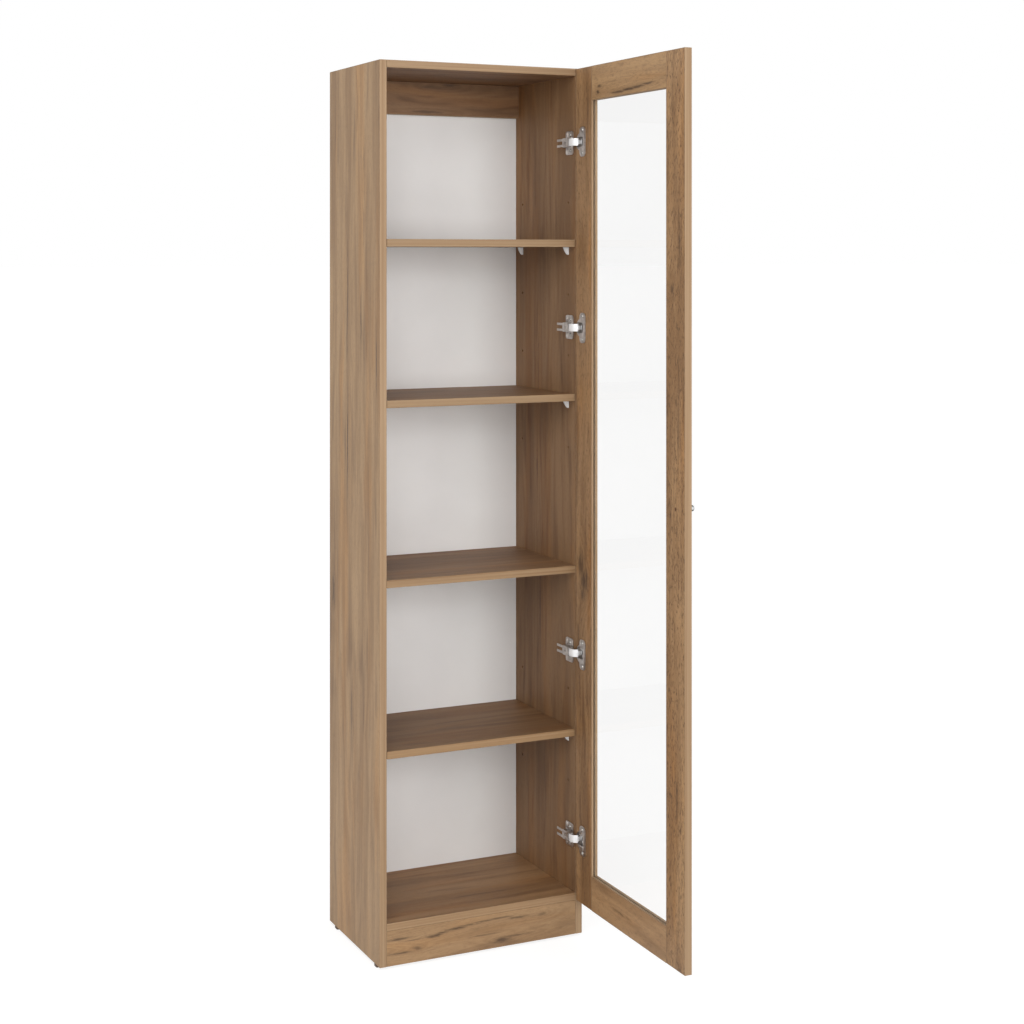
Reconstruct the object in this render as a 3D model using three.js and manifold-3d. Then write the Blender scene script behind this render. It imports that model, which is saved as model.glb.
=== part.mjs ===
// A tall narrow bookcase with one framed glass door, which stands open at almost a right angle.
// Millimetres: X runs across the front, Y from the front edge to the back, Z up from the floor.
import * as THREE from "three";
import { mergeVertices } from "three/addons/utils/BufferGeometryUtils.js";
import Module from "manifold-3d";

const wasm = await Module();
wasm.setup();

// Driving sizes of the whole
const height = 1800;
const width = 450;
const depth = 290;
const board = 15;
const edgeEase = 0.6; // the broken edge of every board
const seam = 0.3; // what pieces that touch keep between them
const overrun = 1; // how far a cutter passes out of the board it cuts
const mergeShare = 0.001; // corners closer than this share of the seam are one corner

// Carcass
const glideHeight = 5;
const glideRound = 3;
const glideFromFront = 24.5;
const glideFromBack = 37;
const kickHeight = 70;
const topRailHeight = 70;
const backThickness = 3;
const backLap = 8; // what the back panel laps over each side panel
const backInset = 1; // from the top and from the underside of the bottom panel
const fixedShelfShare = 0.3917; // how far up the space inside the carcass its underside lies
const looseShelfShares = { upper: 0.7906, middle: 0.6018, lower: 0.1917 };
const looseShelfEndGap = 1.3;
const looseShelfSetback = 1;

// Plastic supports of the loose shelves
const supportReach = 10;
const supportWidth = 8;
const supportDrop = 16;
const supportLip = 2.2;
const supportHeel = 2.5;
const supportWeb = 2;
// the rounded edge of its cheeks, as shares of its reach and its drop
const supportCurveShares = [
  [0.1, 1], [0.3, 0.88], [0.48, 0.72], [0.66, 0.55], [0.81, 0.36], [0.93, 0.17], [1, 0.04],
];
const supportPinRadius = 2.5;
const supportPinLength = 8;
const supportPinDrop = 3;
const supportFromEdge = 33.5;
const spareBoreStep = 96; // from a support's bore to the spare ones above and below it

// Door
const doorSideInset = 1.5; // the closed door stays this far inside the carcass on each side
const doorBottomAbove = 1; // above the underside of the bottom panel
const doorTopBelow = 1;
const doorGap = 3.2; // between the closed door and the carcass
const memberWidth = 70;
const grooveDepth = 8;
const innerLip = 4.2;
const paneThickness = 4;
const paneLap = 7;
const sealThickness = 1.2;
const restOpening = THREE.MathUtils.degToRad(89.4);

// Knob of the door
const knobRadius = 5.9;
const knobLength = 23;
const knobNeckRadius = 4;
const knobNeckLength = 8;
const knobRound = 2;
const knobRoundShare = 0.3; // how deep the middle of the rounding lies under each face
const knobFromEdge = 35;
const screwRadius = 2;
const screwHeadRadius = 4;
const screwHeadDepth = 2.4;
const screwGrip = 9; // what the screw reaches into the knob

// Concealed hinges. In plan they are drawn from the inner front edge of the right side panel, and their
// middles are set as shares of the height of the door.
const hingeShares = { top: 0.9118, upper: 0.6889, lower: 0.2983, bottom: 0.0754 };
const pinRadius = 0.9;
const pinPlay = 0.3;
const eyeWall = 0.8;
const linkThickness = 1.2;
const innerPivot = { fromPanel: 8.64, behindFront: 0 };
const outerPivot = { fromPanel: 8, behindFront: 9.9 };
const innerPin = { fromDoorEdge: 7.9, intoDoor: 2 };
const outerPin = { fromDoorEdge: 7.7, intoDoor: 8 };
const innerTurnShare = -0.282; // what each link turns for one turn of the door
const outerTurnShare = 0.044;
const doorTravel = THREE.MathUtils.degToRad(100);

const cupRadius = 17.5;
const cupWall = 0.6;
const cupDepth = 12.4;
const cupFloor = 0.5;
const cupRound = 1.5;
const cupFromEdge = 21.5;
const flangeThickness = 1;
const flangeRim = 1;
const flangeHeight = 62;
const flangeWidth = 26;
const flangeRound = 9;
const flangeFromEdge = 30.4;
const mouthPlay = 0.5; // the flange is open for the links, and for the nose of the arm with this play
const mouthFromEdge = 34;
const mouthRound = 6;
const cupScrewRadius = 2.4;
const cupScrewSpan = 48;

const armWidth = 19.2;
const armSheet = 1.5;
const armWeb = 1.2;
const armRise = 14;
const armFoot = 3;
const armTail = 57.5;
const armWebFront = 7.5;
const armNoseRadius = 3;
const armHeelBehind = 9;
const armTailWidth = 16.8;
const armSlotWidth = 7.4;
const armSlotLength = 26;
const armScrewRadius = 2.4;
const armScrewBehind = 20;

const plateThickness = 2;
const plateFront = 8;
const plateWidth = 32;
const plateSpan = 49.5;
const plateRound = 5;
const ribRise = 1.2; // pressed ribs along the rear of the plate, above and below the arm
const ribWidth = 5;
const ribFromEdge = 2.5;
const ribFromArm = 1.5;
const plateScrewBehind = 20;
const plateScrewSpan = 32;
const plateScrewRadius = 2.2;
const railRise = 8;
const railFront = 17;
const railTail = 31;
const railWidth = 11;
const railRound = 1.5;

const linkWidth = 15.4;
const innerLinkWidth = 11.4;
const outerLinkNeck = 8.6; // its width inside the cup, between the ears of the inner link
const linkSideGap = 0.4;
const innerLinkThickness = 1.8;
const kneeReach = 5.8; // from the pin in the cup to the knee of the inner link
const kneeTurnShare = 1 / 2; // its direction, as a share of a full turn
const straightShare = 0.6; // how much of the way to the knee the inner link runs straight
// the points that the outer link passes on its way round the inner one, as seen from the two inner pivots:
// how far off they lie, and in which direction, as shares of a full turn
const wrapReach = { pivot: 4.9, waist: 10, mouth: 6.1, pin: 2.9 };
const wrapTurnShares = { pivot: 11 / 24, waist: 53 / 72, mouth: 109 / 180, pin: 55 / 72 };

// Flat sides that stand for a full turn, and steps for a bend or for half a rounded corner
const sidesOf = { cup: 32, knob: 28, eye: 16, bore: 12, pin: 10, spare: 8 };
const bendSteps = { inner: 8, outer: 16 };
const cornerSteps = { fine: 4, plain: 2, small: 1 };

// Faces that several pieces share
const halfWidth = width / 2;
const sideInner = halfWidth - board;
const backFace = depth - backThickness;
const boardDepth = backFace - seam;
const bottomUnderside = glideHeight + kickHeight;
const topUnderside = height - board;
const doorWidth = width - 2 * doorSideInset;
const doorBottom = bottomUnderside + doorBottomAbove;
const doorHeight = height - doorTopBelow - doorBottom;
const floorOfSpace = bottomUnderside + board;
const shelfUnderside = (share) => floorOfSpace + share * (topUnderside - floorOfSpace);
const hingeHeight = (share) => doorBottom + share * doorHeight;
const groove = { near: innerLip, far: innerLip + paneThickness + sealThickness + 3 * seam };

const colours = {
  wood: new THREE.MeshStandardMaterial({ color: 0xa68a68, roughness: 0.6, metalness: 0 }),
  back: new THREE.MeshStandardMaterial({ color: 0xd9d5cf, roughness: 0.7, metalness: 0 }),
  support: new THREE.MeshStandardMaterial({ color: 0xe9e9e6, roughness: 0.45, metalness: 0 }),
  glide: new THREE.MeshStandardMaterial({ color: 0x5b4636, roughness: 0.5, metalness: 0 }),
  glass: new THREE.MeshStandardMaterial({
    color: 0xe6efec, roughness: 0.05, metalness: 0, transparent: true, opacity: 0.3,
  }),
  seal: new THREE.MeshStandardMaterial({ color: 0x6b4f38, roughness: 0.8, metalness: 0 }),
  chrome: new THREE.MeshStandardMaterial({ color: 0xc9cacc, roughness: 0.15, metalness: 1 }),
  steel: new THREE.MeshStandardMaterial({ color: 0xa9a59d, roughness: 0.35, metalness: 1 }),
};

const root = new THREE.Group();
const carcass = new THREE.Group();
const door = new THREE.Group();

function addPiece(group, name, geometry, material) {
  const mesh = new THREE.Mesh(geometry, material);
  mesh.name = name;
  group.add(mesh);
  return mesh;
}

// Joins and cuts of closed shapes
function solidFrom(geometry) {
  const bare = geometry.index ? geometry.toNonIndexed() : geometry.clone();
  bare.deleteAttribute("normal");
  bare.deleteAttribute("uv");
  const merged = mergeVertices(bare, seam * mergeShare);
  const vertProperties = new Float32Array(merged.attributes.position.array);
  const triVerts = new Uint32Array(merged.index.array);
  return new wasm.Manifold(new wasm.Mesh({ numProp: 3, vertProperties, triVerts }));
}

function geometryFrom(solid) {
  const { vertProperties, triVerts } = solid.getMesh();
  const indexed = new THREE.BufferGeometry();
  indexed.setAttribute("position", new THREE.BufferAttribute(new Float32Array(vertProperties), 3));
  indexed.setIndex(new THREE.BufferAttribute(new Uint32Array(triVerts), 1));
  const flat = indexed.toNonIndexed();
  flat.computeVertexNormals();
  return flat;
}

function shaped(body, { add = [], cut = [] }) {
  let solid = solidFrom(body);
  for (const shape of add) solid = solid.add(solidFrom(shape));
  for (const shape of cut) solid = solid.subtract(solidFrom(shape));
  return geometryFrom(solid);
}

// Plain shapes
function block(low, high) {
  const box = new THREE.Box3(low, high);
  const size = box.getSize(new THREE.Vector3());
  const centre = box.getCenter(new THREE.Vector3());
  return new THREE.BoxGeometry(size.x, size.y, size.z).translate(centre.x, centre.y, centre.z);
}

const axes = { x: new THREE.Vector3(1, 0, 0), y: new THREE.Vector3(0, 1, 0), z: new THREE.Vector3(0, 0, 1) };
const planeOf = { x: [axes.y, axes.z, axes.x], y: [axes.z, axes.x, axes.y], z: [axes.x, axes.y, axes.z] };

// A board with broken edges that fills the box between two corners, its thickness along the named axis.
function easedBoard(low, high, thicknessAxis) {
  const [u, v, w] = planeOf[thicknessAxis];
  const size = high.clone().sub(low);
  const outline = outlineOf([[0, 0], [size.dot(u), 0], [size.dot(u), size.dot(v)], [0, size.dot(v)]]);
  const slab = easedPlate(outline, size.dot(w));
  return slab.applyMatrix4(new THREE.Matrix4().makeBasis(u, v, w)).translate(low.x, low.y, low.z);
}

function outlineOf(points) {
  return new THREE.Shape(points.map(([x, y]) => new THREE.Vector2(x, y)));
}

// An outline raised by a thickness, with its two faces' edges broken.
function easedPlate(outline, thickness, ease = edgeEase) {
  const bevel = { bevelThickness: ease, bevelSize: ease, bevelOffset: -ease, bevelSegments: 1 };
  return new THREE.ExtrudeGeometry(outline, { depth: thickness - 2 * ease, ...bevel }).translate(0, 0, ease);
}

// An outline raised from one height to another, with sharp edges.
function plate(outline, from, to, curveSegments = cornerSteps.fine) {
  const raised = new THREE.ExtrudeGeometry(outline, { depth: to - from, bevelEnabled: false, curveSegments });
  return raised.translate(0, 0, from);
}

function roundedRectangle(left, right, bottom, top, radius) {
  const outline = new THREE.Shape();
  outline.moveTo(left + radius, bottom);
  outline.absarc(right - radius, bottom + radius, radius, -Math.PI / 2, 0);
  outline.absarc(right - radius, top - radius, radius, 0, Math.PI / 2);
  outline.absarc(left + radius, top - radius, radius, Math.PI / 2, Math.PI);
  outline.absarc(left + radius, bottom + radius, radius, Math.PI, 1.5 * Math.PI);
  return outline;
}

// A round bar upright at a point of the plan.
function drum(radius, at, halfHeight, sides = sidesOf.bore) {
  const bar = new THREE.CylinderGeometry(radius, radius, 2 * halfHeight, sides).rotateX(Math.PI / 2);
  return bar.translate(at.x, at.y, 0);
}

// A round bar along a horizontal axis.
function rod(axis, radius, from, to, place, sides = sidesOf.bore) {
  const bar = new THREE.CylinderGeometry(radius, radius, to - from, sides).translate(0, (from + to) / 2, 0);
  if (axis === "x") bar.rotateZ(-Math.PI / 2);
  return bar.translate(place.x, place.y, place.z);
}

// Plan of the hinge mechanism: two links swing on the arm and carry the door by two pins in each cup.
const innerCentre = new THREE.Vector2(-innerPivot.fromPanel, innerPivot.behindFront);
const outerCentre = new THREE.Vector2(-outerPivot.fromPanel, outerPivot.behindFront);
const closedEdge = new THREE.Vector2(board - doorSideInset, -doorGap);
const closedInnerPin = closedDoorPoint(innerPin.fromDoorEdge, innerPin.intoDoor);

function closedDoorPoint(fromEdge, intoDoor) {
  return new THREE.Vector2(closedEdge.x - fromEdge, closedEdge.y - intoDoor);
}

function turned(point, centre, angle) {
  return point.clone().rotateAround(centre, angle);
}

// Where a point of the door lies once the door has been opened by an angle.
function doorPoint(fromEdge, intoDoor, opening) {
  const pin = turned(closedInnerPin, innerCentre, innerTurnShare * opening);
  const arm = closedDoorPoint(fromEdge, intoDoor).sub(closedInnerPin);
  return arm.rotateAround(new THREE.Vector2(), opening).add(pin);
}

// The outer link's eye in the arm is wider than its pin by what the pin wanders in it while the door swings.
function wideEye() {
  const steps = 20;
  const wander = new THREE.Box2();
  const path = [];
  for (let i = 0; i <= steps; i++) {
    const opening = (doorTravel * i) / steps;
    const turn = outerTurnShare * (restOpening - opening);
    const fromPin = outerCentre.clone().sub(doorPoint(outerPin.fromDoorEdge, outerPin.intoDoor, opening));
    path.push(fromPin.rotateAround(new THREE.Vector2(), turn).add(openOuterPin));
    wander.expandByPoint(path[i]);
  }
  const centre = wander.getCenter(new THREE.Vector2());
  const play = Math.max(...path.map((point) => point.distanceTo(centre)));
  return { centre, bore: pinRadius + play + pinPlay };
}

function fromPoint(point, reach, turnShare) {
  const angle = 2 * Math.PI * turnShare;
  return new THREE.Vector2(point.x + reach * Math.cos(angle), point.y + reach * Math.sin(angle));
}

// A strip of sheet metal bent through points of the plan.
function bentStrip(points, thickness, halfHeight, steps) {
  const bend = new THREE.SplineCurve(points);
  const sides = [[], []];
  for (let i = 0; i <= steps; i++) {
    const middle = bend.getPointAt(i / steps);
    const along = bend.getTangentAt(i / steps);
    const off = new THREE.Vector2(-along.y, along.x).multiplyScalar(thickness / 2);
    sides[0].push(middle.clone().sub(off));
    sides[1].unshift(middle.clone().add(off));
  }
  return plate(new THREE.Shape([...sides[0], ...sides[1]]), -halfHeight, halfHeight);
}

// Carcass boards
function addSidePanel(name, side) {
  const [outer, inner] = [side * halfWidth, side * sideInner];
  const low = new THREE.Vector3(Math.min(outer, inner), 0, glideHeight);
  const high = new THREE.Vector3(Math.max(outer, inner), depth, height);
  const lapTo = side * (sideInner + backLap);
  const rebate = block(
    new THREE.Vector3(Math.min(lapTo, side * (sideInner - overrun)), boardDepth, glideHeight - overrun),
    new THREE.Vector3(Math.max(lapTo, side * (sideInner - overrun)), depth + overrun, height + overrun),
  );
  const bores = [];
  for (const share of Object.values(looseShelfShares)) {
    for (const y of supportPlaces()) {
      const pinHeight = shelfUnderside(share) - seam - supportPinDrop;
      bores.push(panelBore(side, y, pinHeight, sidesOf.bore));
      bores.push(panelBore(side, y, pinHeight - spareBoreStep, sidesOf.spare));
      bores.push(panelBore(side, y, pinHeight + spareBoreStep, sidesOf.spare));
    }
  }
  addPiece(carcass, name, shaped(easedBoard(low, high, "x"), { cut: [rebate, ...bores] }), colours.wood);
}

function panelBore(side, y, z, sides) {
  const reach = [side * (sideInner - overrun), side * (sideInner + supportPinLength + seam)];
  const at = new THREE.Vector3(0, y, z);
  return rod("x", supportPinRadius + seam, Math.min(...reach), Math.max(...reach), at, sides);
}

function addBoardBetweenSides(name, front, back, bottom, top, thicknessAxis, endGap = seam) {
  const low = new THREE.Vector3(endGap - sideInner, front, bottom);
  const high = new THREE.Vector3(sideInner - endGap, back, top);
  addPiece(carcass, name, easedBoard(low, high, thicknessAxis), colours.wood);
}

function addCarcass() {
  addSidePanel("left_side_panel", -1);
  addSidePanel("right_side_panel", 1);
  addBoardBetweenSides("top_panel", 0, boardDepth, topUnderside, height, "z");
  addBoardBetweenSides("bottom_panel", 0, boardDepth, bottomUnderside, bottomUnderside + board, "z");
  addBoardBetweenSides("kick_board", 0, board, glideHeight, bottomUnderside - seam, "y");
  const railTop = topUnderside - seam;
  addBoardBetweenSides("back_rail", boardDepth - board, boardDepth, railTop - topRailHeight, railTop, "y");
  const fixedUnderside = shelfUnderside(fixedShelfShare);
  addBoardBetweenSides("fixed_shelf", 0, boardDepth, fixedUnderside, fixedUnderside + board, "z");
  for (const [level, share] of Object.entries(looseShelfShares)) {
    const underside = shelfUnderside(share);
    const back = boardDepth - looseShelfSetback;
    addBoardBetweenSides(
      `loose_shelf_${level}`, looseShelfSetback, back, underside, underside + board, "z", looseShelfEndGap,
    );
  }
  const backHalf = sideInner + backLap - seam;
  const back = block(
    new THREE.Vector3(-backHalf, backFace, bottomUnderside + backInset),
    new THREE.Vector3(backHalf, depth, height - backInset),
  );
  addPiece(carcass, "back_panel", back, colours.back);
}

// Glides lie under the side panels, flush with their outer faces.
function addGlides() {
  const half = board / 2;
  for (const [sideName, side] of [["left", -1], ["right", 1]]) {
    for (const [endName, y] of [["front", glideFromFront], ["rear", depth - glideFromBack]]) {
      const outline = roundedRectangle(-half, half, -half, half, glideRound);
      const slab = plate(outline, 0, glideHeight - seam, cornerSteps.plain);
      const glide = addPiece(carcass, `glide_${sideName}_${endName}`, slab, colours.glide);
      glide.position.set(side * (halfWidth - half), y, 0);
    }
  }
}

function supportPlaces() {
  return [supportFromEdge, boardDepth - supportFromEdge];
}

// A gusset with a pin: two rounded cheeks and a heel under a flat top, hollowed between the cheeks.
function supportShape() {
  const curve = supportCurveShares.map(([out, down]) => [out * supportReach, -down * supportDrop]);
  const side = outlineOf([[0, -supportDrop], ...curve, [supportReach, 0], [0, 0]]);
  const hollow = outlineOf([
    [supportHeel, -supportDrop - overrun], [supportReach + overrun, -supportDrop - overrun],
    [supportReach + overrun, -supportLip], [supportHeel, -supportLip],
  ]);
  const half = supportWidth / 2;
  const upright = (shape) => shape.rotateX(Math.PI / 2);
  const gap = half - supportWeb;
  const pinAt = new THREE.Vector3(0, 0, -supportPinDrop);
  const pin = rod("x", supportPinRadius, -supportPinLength, supportHeel / 2, pinAt);
  return shaped(upright(plate(side, -half, half)), { add: [pin], cut: [upright(plate(hollow, -gap, gap))] });
}

function addSupports() {
  for (const [level, share] of Object.entries(looseShelfShares)) {
    for (const [sideName, side] of [["left", -1], ["right", 1]]) {
      supportPlaces().forEach((y, end) => {
        const name = `shelf_support_${level}_${sideName}_${end ? "rear" : "front"}`;
        const support = addPiece(carcass, name, supportShape(), colours.support);
        support.position.set(side * (sideInner - seam), y, shelfUnderside(share) - seam);
        support.rotation.z = side > 0 ? Math.PI : 0;
      });
    }
  }
}

// The door has its own frame: X from the hinge edge, Y from the inner face outwards, Z up from its lower edge.
function addStile(name, edge, into) {
  const outline = outlineOf(stileSection().map(([x, y]) => [edge + into * x, y]));
  return { name, stile: easedPlate(outline, doorHeight) };
}

// A stile or rail across its length: its outer edge at zero, the glazing groove in its inner edge.
function stileSection() {
  return [
    [0, 0], [memberWidth, 0], [memberWidth, groove.near], [memberWidth - grooveDepth, groove.near],
    [memberWidth - grooveDepth, groove.far], [memberWidth, groove.far], [memberWidth, board], [0, board],
  ];
}

function cupBore(z) {
  const depthOfBore = cupDepth + cupFloor + seam;
  const at = new THREE.Vector3(cupFromEdge, 0, z - doorBottom);
  return rod("y", cupRadius + seam, -overrun, depthOfBore, at, sidesOf.cup);
}

function addDoorFrame() {
  const hingeStile = addStile("door_hinge_stile", 0, 1);
  const bores = Object.values(hingeShares).map((share) => cupBore(hingeHeight(share)));
  addPiece(door, hingeStile.name, shaped(hingeStile.stile, { cut: bores }), colours.wood);

  const handleStile = addStile("door_handle_stile", doorWidth, -1);
  const screwHole = rod("y", screwRadius + seam, -overrun, board + overrun, knobPlace());
  const sunk = screwHeadDepth + seam;
  const countersink = new THREE.CylinderGeometry(screwRadius, screwHeadRadius + seam, sunk, sidesOf.eye)
    .translate(knobPlace().x, sunk / 2, knobPlace().z);
  const mouth = rod("y", screwHeadRadius + seam, -overrun, 0, knobPlace(), sidesOf.eye);
  const cut = [screwHole, countersink, mouth];
  addPiece(door, handleStile.name, shaped(handleStile.stile, { cut }), colours.wood);

  addRail("door_bottom_rail", 0, 1);
  addRail("door_top_rail", doorHeight, -1);
}

// A rail between the stiles, with a stub tenon at each end that sits in their grooves.
function addRail(name, edge, into) {
  const from = memberWidth + seam;
  const to = doorWidth - memberWidth - seam;
  const section = stileSection().map(([across, thick]) => [thick, into * across]);
  const bar = easedPlate(outlineOf(section), to - from);
  // the section's plane turns so that its length runs along X
  bar.applyMatrix4(new THREE.Matrix4().makeBasis(axes.y, axes.z, axes.x)).translate(from, 0, edge);
  const tenonReach = grooveDepth - seam;
  const zs = [edge + into * edgeEase, edge + into * (memberWidth - grooveDepth)];
  const tenon = (low, high) => block(
    new THREE.Vector3(low, groove.near + seam, Math.min(...zs)),
    new THREE.Vector3(high, groove.far - seam, Math.max(...zs)),
  );
  const add = [tenon(from - tenonReach, from + overrun), tenon(to - overrun, to + tenonReach)];
  addPiece(door, name, shaped(bar, { add }), colours.wood);
}

// The pane stands in the groove, with a flat seal between it and the outer lip.
function addGlazing() {
  const opening = {
    left: memberWidth, right: doorWidth - memberWidth, bottom: memberWidth, top: doorHeight - memberWidth,
  };
  const low = new THREE.Vector3(opening.left - paneLap, groove.near + seam, opening.bottom - paneLap);
  const high = new THREE.Vector3(opening.right + paneLap, low.y + paneThickness, opening.top + paneLap);
  addPiece(door, "glass_pane", block(low, high), colours.glass);
  const sealLow = new THREE.Vector3(low.x, high.y + seam, low.z);
  const sealHigh = new THREE.Vector3(high.x, sealLow.y + sealThickness, high.z);
  const window = block(
    new THREE.Vector3(opening.left, sealLow.y - overrun, opening.bottom),
    new THREE.Vector3(opening.right, sealHigh.y + overrun, opening.top),
  );
  addPiece(door, "glazing_seal", shaped(block(sealLow, sealHigh), { cut: [window] }), colours.seal);
}

function knobPlace() {
  return new THREE.Vector3(doorWidth - knobFromEdge, 0, doorHeight / 2);
}

function addKnob() {
  const screwLength = board + seam + screwGrip;
  const bore = screwRadius + seam;
  const cornerDepth = knobRound * knobRoundShare;
  const profile = [
    [bore, 0], [knobNeckRadius, 0], [knobNeckRadius, knobNeckLength - knobRound],
    [knobRadius, knobNeckLength], [knobRadius, knobLength - knobRound],
    [knobRadius - cornerDepth, knobLength - cornerDepth], [knobRadius - knobRound, knobLength], [0, knobLength],
    [0, screwGrip + seam], [bore, screwGrip + seam], [bore, 0],
  ];
  const knob = addPiece(door, "knob", spun(profile, sidesOf.knob), colours.chrome);
  knob.position.copy(knobPlace()).setY(board + seam);
  const shank = [
    [0, seam], [screwHeadRadius, seam], [screwRadius, screwHeadDepth],
    [screwRadius, screwLength], [0, screwLength],
  ];
  addPiece(door, "knob_screw", spun(shank, sidesOf.eye), colours.steel).position.copy(knobPlace());
}

// A profile of radii and heights spun round the Y axis.
function spun(profile, sides) {
  const points = profile.map(([radius, along]) => new THREE.Vector2(radius, along));
  return geometryFrom(solidFrom(new THREE.LatheGeometry(points, sides)));
}

// A pressed cup with its flange, its two ears for screws and the two pins of the links.
function cupShape() {
  const face = -seam - flangeThickness;
  const inner = cupRadius - cupWall;
  const floor = cupDepth + cupFloor;
  const rim = cupRadius + flangeRim;
  const profile = [
    [0, cupDepth], [inner - cupRound, cupDepth], [inner, cupDepth - cupRound], [inner, -seam], [0, -seam],
    [0, face], [rim, face], [rim, -seam], [cupRadius, -seam],
    [cupRadius, cupDepth - cupRound], [cupRadius - cupRound, floor], [0, floor],
  ];
  const bowl = spun(profile, sidesOf.cup).translate(cupFromEdge, 0, 0);
  const half = { width: flangeWidth / 2, height: flangeHeight / 2 };
  const earOutline = roundedRectangle(-half.width, half.width, -half.height, half.height, flangeRound);
  const ears = plate(earOutline, 0, flangeThickness).rotateX(Math.PI / 2).translate(flangeFromEdge, -seam, 0);
  const holes = [-1, 1].map((end) => {
    const at = new THREE.Vector3(flangeFromEdge, 0, (end * cupScrewSpan) / 2);
    return rod("y", cupScrewRadius, face - overrun, overrun, at);
  });
  const pins = [innerPin, outerPin].map(({ fromDoorEdge, intoDoor }) => {
    const chord = Math.sqrt((cupRadius - cupWall / 2) ** 2 - (cupFromEdge - fromDoorEdge + pinRadius) ** 2);
    return drum(pinRadius, new THREE.Vector2(fromDoorEdge, intoDoor), chord, sidesOf.pin);
  });
  let solid = solidFrom(bowl).add(solidFrom(ears)).subtract(cupMouth(inner, face));
  for (const hole of holes) solid = solid.subtract(solidFrom(hole));
  for (const pin of pins) solid = solid.add(solidFrom(pin));
  return geometryFrom(solid);
}

// The opening of the cup: the part of its hollow that lies between two straight edges and a rounded end.
function cupMouth(inner, face) {
  const half = armWidth / 2 + mouthPlay;
  const start = cupFromEdge - cupRadius - mouthRound;
  const outline = roundedRectangle(start, mouthFromEdge, -half, half, mouthRound);
  const slot = plate(outline, 0, flangeThickness + overrun).rotateX(Math.PI / 2).translate(0, -seam, 0);
  const hollow = rod("y", inner, face - overrun, 0, new THREE.Vector3(cupFromEdge, 0, 0), sidesOf.cup);
  return solidFrom(slot).intersect(solidFrom(hollow));
}

// The plate under the arm: a flat with screw holes, two pressed ribs, and a rail that the arm slides over.
function plateShape() {
  const tail = plateFront + plateWidth;
  const flat = roundedRectangle(-tail, -plateFront, -plateSpan / 2, plateSpan / 2, plateRound);
  const ribs = [-1, 1].map((side) => {
    const ends = [side * (armWidth / 2 + ribFromArm), side * (plateSpan / 2 - ribFromEdge)];
    const start = ribFromEdge - tail;
    const rib = roundedRectangle(start, start + ribWidth, Math.min(...ends), Math.max(...ends), railRound);
    return plate(rib, 0, plateThickness + ribRise, cornerSteps.small);
  });
  const rail = roundedRectangle(-railTail, -railFront, -railWidth / 2, railWidth / 2, railRound);
  const holes = [-1, 1].map((end) => {
    const place = new THREE.Vector3(-plateScrewBehind, (end * plateScrewSpan) / 2, 0);
    return drum(plateScrewRadius, place, plateThickness + overrun);
  });
  const shape = shaped(plate(flat, 0, plateThickness, cornerSteps.plain), {
    add: [...ribs, plate(rail, 0, railRise - seam, cornerSteps.small)], cut: holes,
  });
  // drawn lying on its back: X to the front, Y up, Z away from the panel
  const stand = new THREE.Matrix4().makeBasis(axes.y.clone().negate(), axes.z, axes.x.clone().negate());
  return shape.applyMatrix4(stand).translate(-seam, 0, 0);
}

// A channel of sheet metal: its two cheeks run forward to hold the pins of the links, and its tail is a fork.
function armShape() {
  const half = armWidth / 2;
  const forkFrom = armTail - armSlotLength;
  const outline = outlineOf([
    [innerCentre.x + armNoseRadius, innerCentre.y], [-armFoot, armHeelBehind], [-armFoot, forkFrom],
    [-armRise, forkFrom], [-armRise, armWebFront], [innerCentre.x - armNoseRadius, innerCentre.y],
  ]);
  const cheeks = [[-half, armSheet - half], [half - armSheet, half]];
  const under = armWeb - armRise;
  const web = block(new THREE.Vector3(-armRise, armWebFront, -half), new THREE.Vector3(under, forkFrom, half));
  const fork = block(
    new THREE.Vector3(-armRise, forkFrom - overrun, -armTailWidth / 2),
    new THREE.Vector3(under, armTail, armTailWidth / 2),
  );
  const pieces = cheeks.flatMap(([from, to]) => {
    const nose = drum(armNoseRadius, innerCentre, armSheet / 2, sidesOf.eye).translate(0, 0, (from + to) / 2);
    return [plate(outline, from, to), nose];
  });
  const reach = half - armSheet / 2;
  const pins = [innerCentre, outerCentre].map((centre) => drum(pinRadius, centre, reach, sidesOf.pin));
  const out = [-armRise - overrun, under + overrun];
  const slot = block(
    new THREE.Vector3(out[0], forkFrom + armSheet, -armSlotWidth / 2),
    new THREE.Vector3(out[1], armTail + overrun, armSlotWidth / 2),
  );
  const hole = rod("x", armScrewRadius, out[0], out[1], new THREE.Vector3(0, armScrewBehind, 0));
  return shaped(web, { add: [fork, ...pieces, ...pins], cut: [slot, hole] });
}

const eyeRadius = pinRadius + pinPlay + eyeWall;
const openInnerPin = doorPoint(innerPin.fromDoorEdge, innerPin.intoDoor, restOpening);
const openOuterPin = doorPoint(outerPin.fromDoorEdge, outerPin.intoDoor, restOpening);

// The inner link lies next to the side panel: a bent bar with an eye at each end, forked in the cup.
function innerLinkShape() {
  const half = innerLinkWidth / 2;
  const knee = fromPoint(openInnerPin, kneeReach, kneeTurnShare);
  const path = [innerCentre, innerCentre.clone().lerp(knee, straightShare), knee, openInnerPin];
  const bar = bentStrip(path, innerLinkThickness, half, bendSteps.inner);
  const eyes = [innerCentre, openInnerPin].map((centre) => drum(eyeRadius, centre, half));
  const bores = [innerCentre, openInnerPin].map((centre) => drum(pinRadius + pinPlay, centre, half + overrun));
  const clear = eyeRadius + overrun;
  const fork = block(
    new THREE.Vector3(knee.x, openInnerPin.y - clear, -outerLinkNeck / 2 - linkSideGap),
    new THREE.Vector3(openInnerPin.x + clear, openInnerPin.y + clear, outerLinkNeck / 2 + linkSideGap),
  );
  return shaped(bar, { add: eyes, cut: [...bores, fork] });
}

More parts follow.
